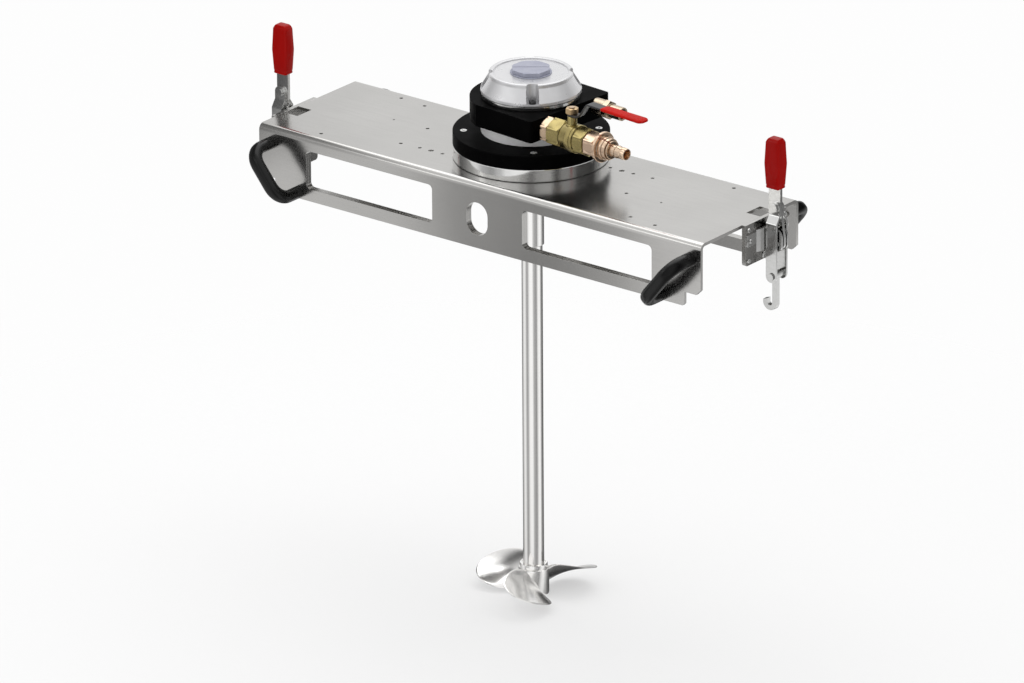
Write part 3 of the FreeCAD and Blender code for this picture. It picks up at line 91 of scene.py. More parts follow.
class Finish:
    """One procedural material, built node by node around a Principled shader."""

    def __init__(self, name, colour, metallic, roughness, coat=0.0, specular=0.5):
        self.material = bpy.data.materials.new(name)
        self.material.use_nodes = True
        self.tree = self.material.node_tree
        self.shader = self.tree.nodes["Principled BSDF"]
        for socket, value in (("Base Color", (*colour, 1.0)), ("Metallic", metallic),
                              ("Roughness", roughness), ("Coat Weight", coat),
                              ("Specular IOR Level", specular)):
            self.shader.inputs[socket].default_value = value
        self.normal = self.bevel(EDGE_RADIUS, 4)

    def node(self, kind, **values):
        made = self.tree.nodes.new("ShaderNode" + kind)
        for key, value in values.items():
            setattr(made, key, value)
        return made

    def link(self, source, target):
        self.tree.links.new(source, target)

    def bevel(self, radius, samples):
        """Normals of the surface as if its edges had a small radius."""
        rounded = self.node("Bevel", samples=samples)
        rounded.inputs["Radius"].default_value = radius
        return rounded.outputs["Normal"]

    def noise(self, scale, detail, rough, stretch=(1, 1, 1)):
        """Noise on the object's own coordinates; a stretch makes it run one way."""
        mapped = self.node("Mapping")
        mapped.inputs["Scale"].default_value = stretch
        self.link(self.node("TexCoord").outputs["Object"], mapped.inputs["Vector"])
        texture = self.node("TexNoise")
        texture.inputs["Scale"].default_value = scale
        texture.inputs["Detail"].default_value = detail
        texture.inputs["Roughness"].default_value = rough
        self.link(mapped.outputs["Vector"], texture.inputs["Vector"])
        return texture.outputs["Fac"]

    def remap(self, value, low, high, to_low, to_high):
        spread = self.node("MapRange")
        for name, number in (("From Min", low), ("From Max", high),
                             ("To Min", to_low), ("To Max", to_high)):
            spread.inputs[name].default_value = number
        self.link(value, spread.inputs["Value"])
        return spread.outputs["Result"]

    def blend(self, amount, first, second):
        """Mixes two colours, each a tuple or a socket, by a value socket."""
        mixed = self.node("Mix", data_type="RGBA")
        self.link(amount, mixed.inputs[0])
        for socket, colour in ((mixed.inputs[MIX_A], first), (mixed.inputs[MIX_B], second)):
            if isinstance(colour, tuple):
                socket.default_value = (*colour, 1.0)
            else:
                self.link(colour, socket)
        return mixed.outputs[MIX_RESULT]

    def worn_and_highlit(self, tone, reach, bright):
        """Brightens outer and inner edges: partly wear, partly a painted highlight."""
        across = self.node("VectorMath", operation="DOT_PRODUCT")
        self.link(self.bevel(reach, 6), across.inputs[0])
        self.link(self.node("NewGeometry").outputs["Normal"], across.inputs[1])
        edges = self.remap(across.outputs["Value"], 1 - EDGE_LEAN_FROM, 1 - EDGE_LEAN_TO, 0.0, 1.0)
        return self.blend(edges, tone, bright)

    def crease_shaded(self, tone, crease_shade, reach, shaded_tone):
        """Painted shade: darkens a tone where surfaces stand close together."""
        if crease_shade == 0:
            return tone
        hidden = self.node("AmbientOcclusion", samples=6)
        hidden.inputs["Distance"].default_value = reach
        return self.blend(self.remap(hidden.outputs["AO"], 0.35, 0.85, crease_shade, 0.0), tone, shaded_tone)

    def bump(self, height, strength, distance):
        made = self.node("Bump")
        made.inputs["Strength"].default_value = strength
        made.inputs["Distance"].default_value = distance
        self.link(height, made.inputs["Height"])
        self.link(self.normal, made.inputs["Normal"])
        self.normal = made.outputs["Normal"]

    def finish(self, tone, roughness):
        """Links colour, roughness and normal sockets to the shader."""
        self.link(tone, self.shader.inputs["Base Color"])
        self.link(roughness, self.shader.inputs["Roughness"])
        self.link(self.normal, self.shader.inputs["Normal"])
        return self.material


def shade(colour, factor):
    return tuple(min(1.0, part * factor) for part in colour)


def metal(name, colour, roughness, spread, grain, strength, cloud, wear_and_highlight, crease_shade=0.0):
    """Metal with a directional grain, slow tone changes, slightly brighter edges (partly wear,
    partly painted highlight) and painted shade in creases.
    """
    made = Finish(name, colour, 1.0, roughness)
    streak = made.noise(1.0, 6.0, 0.62, grain)
    fine = made.noise(1.0, 3.0, 0.7, tuple(part * 3.1 for part in grain))
    slow = made.noise(7.0, 3.0, 0.5)
    tone = made.blend(made.remap(slow, 0.3, 0.7, 0.0, 1.0),
                      shade(colour, 1 - cloud), shade(colour, 1 + cloud))
    tone = made.blend(made.remap(streak, 0.3, 0.75, 0.0, 0.5), tone, shade(colour, 0.86))
    # brighter edges: partly wear, partly painted highlight
    tone = made.worn_and_highlit(tone, METAL_EDGE_REACH, shade(colour, 1 + wear_and_highlight))
    # painted shade where parts stand close together
    tone = made.crease_shaded(tone, crease_shade, 0.005, shade(colour, 0.05))
    made.bump(streak, strength, 0.0002)
    made.bump(fine, strength * 0.6, 0.0001)
    return made.finish(tone, made.remap(streak, 0.25, 0.75, roughness - spread, roughness + spread))


def anodised(name, colour, roughness, specular, smeared, worn_and_highlit):
    """Black anodised metal: matt, faintly smeared, a little grey on its edges (partly wear, partly
    painted highlight).
    """
    made = Finish(name, colour, 0.0, roughness, specular=specular)
    grain = made.noise(900.0, 3.0, 0.6)
    smear = made.noise(22.0, 4.0, 0.6)
    tone = made.blend(made.remap(smear, 0.35, 0.7, 0.0, 1.0), colour, smeared)
    # grey edges: partly wear, partly painted highlight
    tone = made.worn_and_highlit(tone, BLACK_EDGE_REACH, worn_and_highlit)
    made.bump(grain, 0.08, 0.0001)
    return made.finish(tone, made.remap(smear, 0.3, 0.7, roughness - 0.09, roughness + 0.05))


def moulded(name, colour, roughness, coat, grain_size, strength, edge=None, specular=0.5):
    """Moulded plastic: fine grain, faint flow marks and lighter edges, partly handling wear and
    partly painted highlight.
    """
    made = Finish(name, colour, 0.0, roughness, coat, specular)
    made.shader.inputs["Coat Roughness"].default_value = 0.12
    grain = made.noise(grain_size, 4.0, 0.6)
    flow = made.noise(18.0, 4.0, 0.5, (1, 1, 0.35))
    tone = made.blend(made.remap(flow, 0.3, 0.7, 0.0, 1.0), shade(colour, 0.88), shade(colour, 1.1))
    if edge is not None:
        # lighter edges: partly handling wear, partly painted highlight
        tone = made.worn_and_highlit(tone, PLASTIC_EDGE_REACH, edge)
    made.bump(grain, strength, 0.0002)
    return made.finish(tone, made.remap(flow, 0.3, 0.7, roughness - 0.05, roughness + 0.06))


def cast(name, colour, metallic, roughness, grain_size, strength, stain, crease_shade=0.0):
    """Cast or forged metal: pitted skin, stained tone, bright edges (partly rubbed, partly painted
    highlight) and painted shade in creases.
    """
    made = Finish(name, colour, metallic, roughness)
    pits = made.noise(grain_size, 5.0, 0.62)
    patch = made.noise(45.0, 4.0, 0.6)
    tone = made.blend(made.remap(patch, 0.35, 0.68, 0.0, 1.0), colour, stain)
    # bright edges: partly rubbed, partly painted highlight
    tone = made.worn_and_highlit(tone, METAL_EDGE_REACH, shade(colour, 1.12))
    # painted shade where parts stand close together
    tone = made.crease_shaded(tone, crease_shade, 0.004, shade(colour, 0.12))
    made.bump(pits, strength, 0.0003)
    return made.finish(tone, made.remap(patch, 0.3, 0.7, roughness - 0.06, roughness + 0.09))


BRIGHT = (0.97, 0.96, 0.945)
looks = (
    # metal: colour, roughness and its spread, grain, bump, cloud, edge wear and painted highlight,
    # painted shade in creases
    ("stainless", metal, (0.53, 0.522, 0.507), 0.19, 0.03, (9, 520, 520), 0.014, 0.05, 0.15),
    ("polished_steel", metal, (0.80, 0.80, 0.79), 0.12, 0.02, (4, 4, 900), 0.02, 0.03, 0.1, 0.9),
    ("turned_steel", metal, BRIGHT, 0.09, 0.02, (5, 5, 700), 0.02, 0.02, 0.02),
    ("blade_steel", metal, BRIGHT, 0.18, 0.04, (60, 60, 60), 0.02, 0.03, 0.03),
    ("plated_steel", metal, (0.70, 0.70, 0.69), 0.14, 0.04, (90, 90, 240), 0.04, 0.06, 0.2),
    # anodised: colour, roughness, specular, smeared colour, edge colour (wear and painted
    # highlight)
    ("black_anodised", anodised, (0.0008, 0.0008, 0.0009), 0.45, 0.012, (0.002, 0.002, 0.002),
     (0.015, 0.015, 0.015)),
    # cast: colour, metallic, roughness, grain size, bump, stain, painted shade in creases
    ("cast_aluminium", cast, (0.66, 0.66, 0.67), 0.55, 0.30, 700.0, 0.006, (0.63, 0.63, 0.64)),
    # the neck's near-white, barely metallic colour is a painted sheen in place of its bright
    # reflection under the block
    ("satin_neck", cast, (0.97, 0.97, 0.97), 0.1, 0.30, 900.0, 0.01, (0.93, 0.93, 0.93)),
    ("blue_anodised", cast, (0.36, 0.37, 0.45), 0.2, 0.40, 900.0, 0.02, (0.32, 0.33, 0.41)),
    ("brass", cast, (0.40, 0.325, 0.135), 1.0, 0.26, 900.0, 0.02, (0.33, 0.27, 0.11), 0.8),
    ("bronze", cast, (0.68, 0.51, 0.36), 1.0, 0.20, 900.0, 0.015, (0.60, 0.45, 0.31), 0.8),
    ("copper_bronze", cast, (0.80, 0.60, 0.44), 1.0, 0.17, 900.0, 0.015, (0.72, 0.52, 0.38), 0.8),
    ("tail_bronze", cast, (0.80, 0.61, 0.45), 1.0, 0.16, 900.0, 0.015, (0.72, 0.54, 0.39), 0.8),
    ("nut_brass", cast, (0.60, 0.43, 0.24), 1.0, 0.22, 900.0, 0.02, (0.50, 0.35, 0.19), 0.6),
    ("nickel", cast, (0.58, 0.48, 0.36), 1.0, 0.24, 900.0, 0.02, (0.50, 0.41, 0.30), 0.6),
    # moulded: colour, roughness, coat, grain size, bump, edge colour (wear and painted highlight),
    # specular
    ("black_plastic", moulded, (0.0010, 0.0010, 0.0010), 0.24, 0.0, 1400.0, 0.008, None, 0.30),
    # the grips' bright red edge colour is a painted highlight
    ("red_plastic", moulded, (0.35, 0.002, 0.001), 0.22, 0.0, 500.0, 0.02, (0.66, 0.02, 0.012),
     0.10),
    ("lever_red", moulded, (0.52, 0.011, 0.007), 0.36, 0.0, 700.0, 0.04, None, 0.035),
    ("black_steel", moulded, (0.012, 0.012, 0.013), 0.34, 0.1, 900.0, 0.05, (0.07, 0.07, 0.07)),
    ("seal_rubber", moulded, (0.02, 0.02, 0.02), 0.6, 0.0, 800.0, 0.1),
    ("vane_composite", moulded, (0.20, 0.12, 0.06), 0.5, 0.0, 600.0, 0.1),
)
finishes = {name: make(name, *values) for name, make, *values in looks}

# Nodes that look different from the rest of their slot
special = {"agitator_shaft": "turned_steel", "coupling_sleeve": "turned_steel",
           "motor_neck": "satin_neck"}

slots = {part["node"]: part["material_slot"] for part in frame["record"]["subparts"]}
for name, thing in nodes.items():
    thing.data.materials.clear()
    thing.data.materials.append(finishes[special.get(name, slots[name])])


# Pieces built as meshes

def in_mm(x, y, z):
    """A point given in millimetres, in metres."""
    return Vector((x / 1000, y / 1000, z / 1000))


def shares(count):
    """Even steps from 0 to 1, both ends included."""
    return [step / count for step in range(count + 1)]


def ease(share):
    """A share from 0 to 1 that starts and ends gently."""
    return share * share * (3 - 2 * share)


def turned(degrees):
    """A turn about the upright axis."""
    return Matrix.Rotation(math.radians(degrees), 4, "Z")


def stack_frame(x=0.0, y=0.0, z=0.0):
    """The motor's own frame on the top plate, moved by a distance in metres."""
    return (Matrix.Translation(AXIS) @ Matrix.Rotation(STACK_TURN, 4, "Z")
            @ Matrix.Translation((x, y, z)))


def stack_circle(radius, height, angles):
    """Frames on a circle round the motor's axis, in metres and degrees."""
    for angle in angles:
        turn = math.radians(angle)
        yield stack_frame(radius * math.cos(turn), radius * math.sin(turn), height)


def clamp_frame(side):
    """A clamp's own frame: level with the plate, X away from the beam."""
    place = Matrix.Translation((CLAMP_X * side, CLAMP_Y * side, TOP))
    return place @ turned(0 if side > 0 else 180)


def below_plate(drop):
    """The drive line's frame at a distance under the plate."""
    return Matrix.Translation((AXIS.x, AXIS.y, TOP - drop))


def along_x(place):
    """The same frame with its own Z laid along X and its own X upright, for parts on a pipe."""
    return place @ Matrix(((0, 0, 1, 0), (0, -1, 0, 0), (1, 0, 0, 0), (0, 0, 0, 1)))


def join(mesh, rings):
    """Makes the faces between each ring of vertices and the next; one vertex is a pole."""
    for low, high in zip(rings, rings[1:]):
        count = max(len(low), len(high))
        for step in range(count):
            after = (step + 1) % count
            if len(low) == 1:
                mesh.faces.new((low[0], high[after], high[step]))
            elif len(high) == 1:
                mesh.faces.new((low[step], low[after], high[0]))
            else:
                mesh.faces.new((low[step], low[after], high[after], high[step]))


def ring_radius(angle, radius, flats, sides):
    """Distance to a ring at an angle: a circle, or a polygon whose corners the circle cuts off."""
    half = math.pi / sides
    across = angle % (2 * half) - half
    return min(radius, flats / 2 / math.cos(across))


def lathe(mesh, place, stations, sides=6, count=96, closed=False):
    """Turns a profile; a station is (along, radius) or (along, radius, flats), in mm."""
    rings = []
    for along, radius, *flats in stations:
        if radius == 0:
            rings.append([mesh.verts.new(place @ in_mm(0, 0, along))])
            continue
        ring = []
        for step in range(count):
            angle = 2 * math.pi * step / count
            reach = ring_radius(angle, radius, flats[0], sides) if flats else radius
            point = in_mm(reach * math.cos(angle), reach * math.sin(angle), along)
            ring.append(mesh.verts.new(place @ point))
        rings.append(ring)
    if closed:
        rings.append(rings[0])
    join(mesh, rings)


def skin(mesh, loops):
    """Joins loops of points, all with the same number, and closes both ends."""
    rings = [[mesh.verts.new(point) for point in loop] for loop in loops]
    join(mesh, rings)
    mesh.faces.new(rings[0][::-1])
    mesh.faces.new(rings[-1])


def add_object(name, mesh):
    """Turns a bmesh into an object of the scene."""
    data = bpy.data.meshes.new(name)
    mesh.to_mesh(data)
    mesh.free()
    made = bpy.data.objects.new(name, data)
    bpy.context.scene.collection.objects.link(made)
    return made


def add_piece(name, mesh, finish, body, replaced=(), sharp=32):
    """Turns a bmesh into a piece that rides on a body and stands for the solids' nodes."""
    bmesh.ops.recalc_face_normals(mesh, faces=mesh.faces)
    piece = add_object(name, mesh)
    piece.data.shade_smooth()
    piece.data.set_sharp_from_angle(angle=math.radians(sharp))
    piece.data.materials.append(finishes[finish])
    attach(piece, body)
    if replaced:
        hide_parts(*replaced)


def turned_piece(name, place, stations, finish, body, replaced):
    """A piece with one closed profile, hollow round its axis."""
    mesh = bmesh.new()
    lathe(mesh, place, stations, closed=True)
    add_piece(name, mesh, finish, body, replaced)


def chamfered(start, end, flats, chamfer=1.6, cut=0.0):
    """Stations of a hexagon with turned chamfers; flats and lengths in mm."""
    face = flats / 2 - cut
    slope = chamfer * 0.45
    return [(start, face), (start + slope, face + 1.1, flats), (start + chamfer, flats, flats),
            (end - chamfer, flats, flats), (end - slope, face + 1.1, flats), (end, face)]


def socket_screw(radius, height, key, depth, round_over=0.8):
    """Stations of a cap screw head with a hexagonal socket."""
    deep = height - depth
    return [(0, radius), (height - round_over, radius),
            (height - round_over * 0.3, radius - round_over * 0.35), (height, radius - round_over),
            (height, key * 0.62), (height - 0.3, key, key), (deep + 0.4, key, key), (deep, 0)]


def shanked_screw(radius, height, key, depth, round_over):
    """Stations of the same head with a short piece of its shank."""
    return [(-8, 0), (-8, 2.5), (0, 2.5)] + socket_screw(radius, height, key, depth, round_over)


def motor_details():
    """Screw heads of flange and cap, the slotted filler plug and two small pins."""
    quarters = (-45, 45, 135, 225)
    mesh = bmesh.new()
    for place in stack_circle(CAP_SCREWS, CAP_POCKET, quarters):
        lathe(mesh, place, socket_screw(6.5, 5, 5, 3.2), count=48)
    add_piece("cap_screw_heads", mesh, "black_steel", "beam", ("cap_screws",))
    mesh = bmesh.new()
    for place in stack_circle(FLANGE_SCREWS, FLANGE_POCKET, quarters):
        lathe(mesh, place, socket_screw(6.5, 5, 5, 2.4, 0.5), count=48)
    add_piece("flange_screw_heads", mesh, "plated_steel", "beam", ("flange_screws",))
    mesh = bmesh.new()
    corner, sides = 36.2, 8
    flats = 2 * corner * math.cos(math.pi / sides)
    lathe(mesh, stack_frame(z=CAP_TOP) @ turned(180 / sides),
          [(0, 0), (0, 37), (0.4, 37.5), (1.6, 37.5), (2, 37), (2, flats / 2, flats),
           (2.4, 60, flats), (8.2, 60, flats), (9.3, flats / 2 + 1.4, flats),
           (10, flats / 2 - 0.6, flats - 3), (10, 0)], sides=sides)
    heading, half_wide, deep = math.radians(43), 0.0011, 0.0012
    cut_groove(mesh, stack_frame(z=PLUG_TOP), heading, half_wide, deep)
    add_piece("filler_plug_head", mesh, "blue_anodised", "beam", ("filler_plug",), sharp=18)
    mesh = bmesh.new()
    pins, sunk = 0.063, 0.0001
    for place in stack_circle(pins, CAP_TOP - sunk, (-77, -29)):
        lathe(mesh, place, [(0, 0), (0, 1.1), (0.25, 1.1), (0.4, 0.9), (0.4, 0.5), (0.2, 0)],
              count=24)
    add_piece("cap_pins", mesh, "black_steel", "beam")


def cut_groove(mesh, place, heading, half, depth):
    """Sinks a straight slot into the top face; its ends stay closed by the chamfers."""
    level = 0.00005
    along = (place.to_3x3() @ Vector((math.cos(heading), math.sin(heading), 0))).normalized()
    across = Vector((0, 0, 1)).cross(along)
    centre = place.translation
    for side in (-1, 1):
        everything = mesh.verts[:] + mesh.edges[:] + mesh.faces[:]
        bmesh.ops.bisect_plane(mesh, geom=everything, plane_co=centre + across * half * side,
                               plane_no=across)
    inside = []
    for face in mesh.faces:
        middle = face.calc_center_median()
        if abs((middle - centre).dot(across)) < half and abs(middle.z - centre.z) < level:
            inside.append(face)
    made = bmesh.ops.extrude_face_region(mesh, geom=inside)["geom"]
    lowered = [item for item in made if isinstance(item, bmesh.types.BMVert)]
    bmesh.ops.delete(mesh, geom=inside, context="FACES_ONLY")
    bmesh.ops.translate(mesh, verts=lowered, vec=(0, 0, -depth))


def inlet_details():
    """The pipe line from the block to the barbed tail, and the exhaust beside it."""
    pipe = stack_frame(FACE, -PORT_Y, INLET_HEIGHT)
    line = along_x(pipe)
    nipple_end, union_start, tail_start, tail_end = 25, 111, 161.5, 199.5
    nipple = [(-14, PORT_RADIUS), (-14, 12.6), (-13, 13), (8.5, 13)]
    nipple += chamfered(8.5, nipple_end, 43.5) + [(nipple_end, PORT_RADIUS)]
    turned_piece("nipple", line, nipple, "bronze", "beam", ("inlet_nipple",))

    first_end, near, far, second_start = 53.5, 68.5, 86.5, 88
    flats, inner = 47, 13.2
    body = [(nipple_end, inner)] + chamfered(nipple_end, first_end, flats, 2.0)
    body += [(first_end, 22.2), (54.3, 23.1), (55.5, 23.5), (near - 1.5, 23.5), (near - 0.2, 24),
             (near + 0.8, 25.6), (near + 2, 26), (far - 6.4, 26), (far - 6, 25.2),
             (far - 5.2, 25.2), (far - 4.8, 26), (far - 1, 26), (far, 25.2), (far + 0.2, 23.5),
             (second_start, 23.3)]
    body += chamfered(second_start, union_start, flats, 2.0) + [(union_start, inner), (60, inner)]
    boss = [(0, 9), (0, 10.5), (4.5, 10.3), (5.2, 9), (16.5, 9), (18, 8.4), (19.2, 8), (20, 7.2),
            (20, STEM_BORE), (0, STEM_BORE)]
    mesh = bmesh.new()
    lathe(mesh, line, body, closed=True)
    lathe(mesh, pipe @ Matrix.Translation((STEM_AT, 0, STEM_BOSS)), boss, count=64, closed=True)
    add_piece("valve_housing", mesh, "brass", "beam", ("valve_body",))

    union = [(97, BORE), (97, 13), (union_start, 13)] + chamfered(union_start, 136, 43, 2.2)
    union += [(136, 20.5), (137.6, 20.2), (139, 22), (139, 27), (140, 28), (144, 28),
              (145, 27.2), (145, 22), (146, 20.6), (147, 21.4), (153, 21.4), (154, 20.6),
              (154, 19.6), (160.7, 19.6), (tail_start, 18.8), (tail_start, BORE)]
    turned_piece("union_nut", line, union, "copper_bronze", "beam", ("hose_union",))

    tail = [(tail_start, BORE), (tail_start, 16.6), (162.2, 17), (164.7, 17), (165.5, 16.2),
            (165.5, 12.6)]
    pitch = 34 / 3
    for step, barb in enumerate((11.9, 11.9, 11.3)):
        root = 165.5 + pitch * step
        tail += [(root + 0.4, 11), (root + 1.4, barb - 0.2), (root + 2.4, barb),
                 (root + pitch - 1.2, 10.5)]
    tail += [(tail_end - 0.4, 10.2), (tail_end, 9.7), (tail_end, 9.1), (tail_end - 0.6, BORE)]
    turned_piece("barbed_tail", line, tail, "tail_bronze", "beam", ("hose_tail",))

    nut = [(0, STEM_BORE)] + chamfered(0, 10.4, 20.5, 1.2, 0.2) + [(10.4, 5.4), (9.8, STEM_BORE)]
    turned_piece("stem_nut_turned", pipe @ Matrix.Translation((STEM_AT, 0, STEM_NUT)), nut,
                 "nut_brass", "inlet_lever", ("stem_nut",))

    outlet = along_x(stack_frame(FACE, PORT_Y, EXHAUST_HEIGHT))
    bush_end = 24
    bush = [(-14, PORT_RADIUS), (-14, 11.5), (0, 11.5), (0, 15), (0.6, 15.6), (23.2, 15.6),
            (bush_end, 15), (bush_end, PORT_RADIUS)]
    turned_piece("exhaust_socket", outlet, bush, "nickel", "beam", ("exhaust_bush",))
    fitting = [(bush_end, PORT_RADIUS)] + chamfered(bush_end, 35, 31, 1.3)
    fitting += [(35, 12.9), (35.7, 12.2), (37, 12.5), (63.8, 12.5), (65, 11.6), (65, 9.4),
                (64.4, PORT_RADIUS)]
    turned_piece("exhaust_fitting", outlet, fitting, "nickel", "beam", ("silencer",))


def strap_stops(eye, climb):
    """Stops along the lever's strap in mm: distance from the stem, rise and half width."""
    stops = []
    for share in shares(12):
        x = -eye + eye * (1 - math.cos(math.pi / 2 * share))
        stops.append((x, 0.0, math.sqrt(max(0.3, eye * eye - x * x))))
    stops += [(8, 0.0, eye), (14, 0.0, eye)]
    for share in shares(16):
        stops.append((16 + 30 * share, climb * ease(share), eye - 1.2 * math.sin(math.pi * share)))
    return stops + [(54, climb, eye), (90, climb, eye), (166, climb, eye), (171.5, climb, 8.2)]


def sleeve_section(share):
    """Half width and half thickness of the dipped sleeve in mm, at a share of its length."""
    widest, mouth, crown = 13, 0.04, 0.9
    wide = (0.8 + 0.2 * share) * widest
    thin = 3.25
    if share < mouth:
        thin *= 0.75 + 0.25 * share / mouth
        wide *= 0.95 + 0.05 * share / mouth
    if share > crown:
        over = (share - crown) / (1 - crown)
        wide *= math.sqrt(max(0.30, 1 - 0.62 * over * over))
        thin *= 1 - 0.35 * over * over
    return wide, thin


def lever_details():
    """The cranked strap with its round eye, and the dipped sleeve on its outer length."""
    pipe = stack_frame(FACE, -PORT_Y, INLET_HEIGHT)
    level, thick, eye, climb, bevel = 41.5, 3.5, 9, 30, 0.5
    stem = STEM_AT * 1000
    loops = []
    for x, rise, side in strap_stops(eye, climb):
        low, high = level + rise, level + rise + thick
        corners = [(-side, low + bevel), (-side + bevel, low), (side - bevel, low),
                   (side, low + bevel), (side, high - bevel), (side - bevel, high),
                   (-side + bevel, high), (-side, high - bevel)]
        loops.append([pipe @ in_mm(stem + x, y, z) for y, z in corners])
    mesh = bmesh.new()
    skin(mesh, loops)
    add_piece("valve_strap", mesh, "black_steel", "inlet_lever", ("valve_lever",), sharp=40)

    middle = level + climb + thick / 2
    start, length, points = 77, 98, 32
    loops = []
    for share in shares(40):
        wide, thin = sleeve_section(share)
        loop = []
        for step in range(points):
            angle = 2 * math.pi * step / points
            across, upward = math.cos(angle), math.sin(angle)
            y = math.copysign(abs(across) ** 0.42, across) * wide
            z = math.copysign(abs(upward) ** 0.62, upward) * thin
            loop.append(pipe @ in_mm(stem + start + length * share, y, middle + z))
        loops.append(loop)
    mesh = bmesh.new()
    skin(mesh, loops)
    add_piece("sleeve_dipped", mesh, "lever_red", "inlet_lever", ("lever_sleeve",), sharp=50)


def rounded_box(wide, deep, corner, steps):
    """Points round a rectangle with round corners, from half its width and depth."""
    points = []
    for quarter, (across, along) in enumerate(((1, 1), (-1, 1), (-1, -1), (1, -1))):
        for share in shares(steps - 1):
            angle = math.pi / 2 * (quarter + share)
            points.append((across * (wide - corner) + corner * math.cos(angle),
                           along * (deep - corner) + corner * math.sin(angle)))
    return points


def grip_details():
    """Moulded grips: straight tapers, bevelled corners, a rolled lip below and a sloped crown."""
    lever_x, wide, deep, corner = 21, 17.25, 13, 4.2
    levels = [(60, 0.80), (60.8, 0.84), (63, 0.845), (64, 0.82), (65.5, 0.82), (66.5, 0.855),
              (86, 0.93), (104.5, 0.998), (106.5, 1.0), (108.5, 0.996), (126, 0.94),
              (144.5, 0.888), (146.2, 0.872), (150, 0.76), (152, 0.67), (152.8, 0.60), (153, 0.50)]
    for side, name in ((-1, "left"), (1, "right")):
        place = clamp_frame(side)
        loops = []
        for height, share in levels:
            points = rounded_box(wide * share, deep * share, corner * share, 4)
            loops.append([place @ in_mm(lever_x + x, y, height) for x, y in points])
        mesh = bmesh.new()
        skin(mesh, loops)
        add_piece(name + "_grip_moulded", mesh, "red_plastic", name + "_lever_arm",
                  (name + "_clamp_grip",), sharp=24)


def handle_stops():
    """Stops along a handle's bar in mm: across, outwards, and the angle turned so far."""
    half, reach, knee = 51.0, 54.5, 29.0
    stops = [(-half, height, 0.0) for height in (0, 1.2, 2, 8.4, 9, 9.8, 10.4, 16, 23)]
    for share in shares(12)[1:]:
        angle = math.pi / 2 * share
        stops.append((-half + knee - knee * math.cos(angle),
                      reach - knee + knee * math.sin(angle), angle))
    stops.append(((knee - half) * 0.5, reach, math.pi / 2))
    mirrored = [(-x, y, math.pi - angle) for x, y, angle in stops[::-1]]
    return stops + [(0.0, reach, math.pi / 2)] + mirrored


def handle_details():
    """Bridge handles: one bar swept round two knees, with a groove above each foot."""
    lean = math.radians(51)
    wide, deep, corner = 11.0, 12.8, 10.4
    grooves = {0: 0.95, 9: 0.955, 9.8: 0.955}
    for side, side_name in ((-1, "left"), (1, "right")):
        for facing, face_name in ((-1, "front"), (1, "rear")):
            bar = Vector((side * math.cos(lean), 0, math.sin(lean)))
            outward = Vector((0, facing, 0))
            upright = bar.cross(outward)
            origin = Vector((HANDLE_X * side, HANDLE_Y * facing, TOP - HANDLE_DROP))
            loops = []
            for x, y, angle in handle_stops():
                share = grooves.get(y, 1.0)
                loop = []
                for across, along in rounded_box(wide * share, deep * share, corner * share, 7):
                    point = (bar * (x - across * math.cos(angle))
                             + outward * (y + across * math.sin(angle)) + upright * along)
                    loop.append(origin + point / 1000)
                loops.append(loop)
            mesh = bmesh.new()
            skin(mesh, loops)
            add_piece("handle_bar_%s_%s" % (face_name, side_name), mesh, "black_plastic", "beam",
                      ("handle_%s_%s" % (face_name, side_name),), sharp=40)


def blade_point(radius, share, upper):
    """A point of a blade's skin in mm: along the radius, and across the chord from -1 to 1."""
    widest, chord_most, chord_least = 74.0, 96, 8.0
    full, blunt, waist = 2.15, 0.48, 1.12
    pitch, thick_most, taper, rim = 230, 4.6, 0.55, 1.25
    swell, swell_end = 5.0, 35
    side = BLADE_TIP - widest if radius > widest else (widest - BLADE_ROOT) * waist
    open_share = 1 - abs((radius - widest) / side) ** full
    chord = max(chord_most * max(0.0, open_share) ** blunt, chord_least)
    slope = math.atan2(pitch / (2 * math.pi), radius)
    thick = thick_most * (1 - taper * (radius - BLADE_ROOT) / (BLADE_TIP - BLADE_ROOT))
    thick += swell * max(0.0, (swell_end - radius) / (swell_end - BLADE_ROOT)) ** 2
    half = rim + max(0.0, thick / 2 - rim) * (1 - share * share)
    half *= math.sqrt(max(0.0, 1 - share ** 16))
    lift = half if upper else -half
    across = chord / 2 * share
    return Vector((radius, across * math.cos(slope) + lift * math.sin(slope),
                   -across * math.sin(slope) + lift * math.cos(slope)))


def propeller_details():
    """Three oval blades on one helix, thickened at the root, the hub and the shaft's collar."""
    mesh = bmesh.new()
    over_chord = [math.sin(math.pi * (share - 0.5)) for share in shares(28)]
    for number in range(3):
        place = below_plate(BLADE_DROP) @ turned(60 + 120 * number)
        loops = []
        for step in shares(40):
            radius = BLADE_ROOT + (BLADE_TIP - BLADE_ROOT) * math.sin(math.pi / 2 * step)
            ring = [blade_point(radius, share, True) for share in over_chord]
            ring += [blade_point(radius, share, False) for share in over_chord[-2:0:-1]]
            loops.append([place @ (point / 1000) for point in ring])
        skin(mesh, loops)
    hub_bore, hub_floor, hub_height = 19.45, 8, 52
    lathe(mesh, below_plate(HUB_DROP),
          [(0, 0), (0, 25), (0.25, 26.3), (0.9, 27.2), (1.8, 27.8), (3, 28), (49, 28),
           (50.2, 27.8), (51.1, 27.1), (51.8, 26.2), (hub_height, 25), (hub_height, hub_bore),
           (hub_floor, hub_bore), (hub_floor, 0)])
    add_piece("propeller_cast", mesh, "blade_steel", "drive", ("propeller",), sharp=40)
    turned_piece("shaft_collar", below_plate(COLLAR_DROP),
                 [(0, COLLAR_BORE), (0, 24.8), (0.7, 25.5), (6.6, 25.5), (7.6, 25), (8, 24.4),
                  (8, 22), (7, 21.4), (7, COLLAR_BORE)],
                 "turned_steel", "drive", ("propeller_collar",))


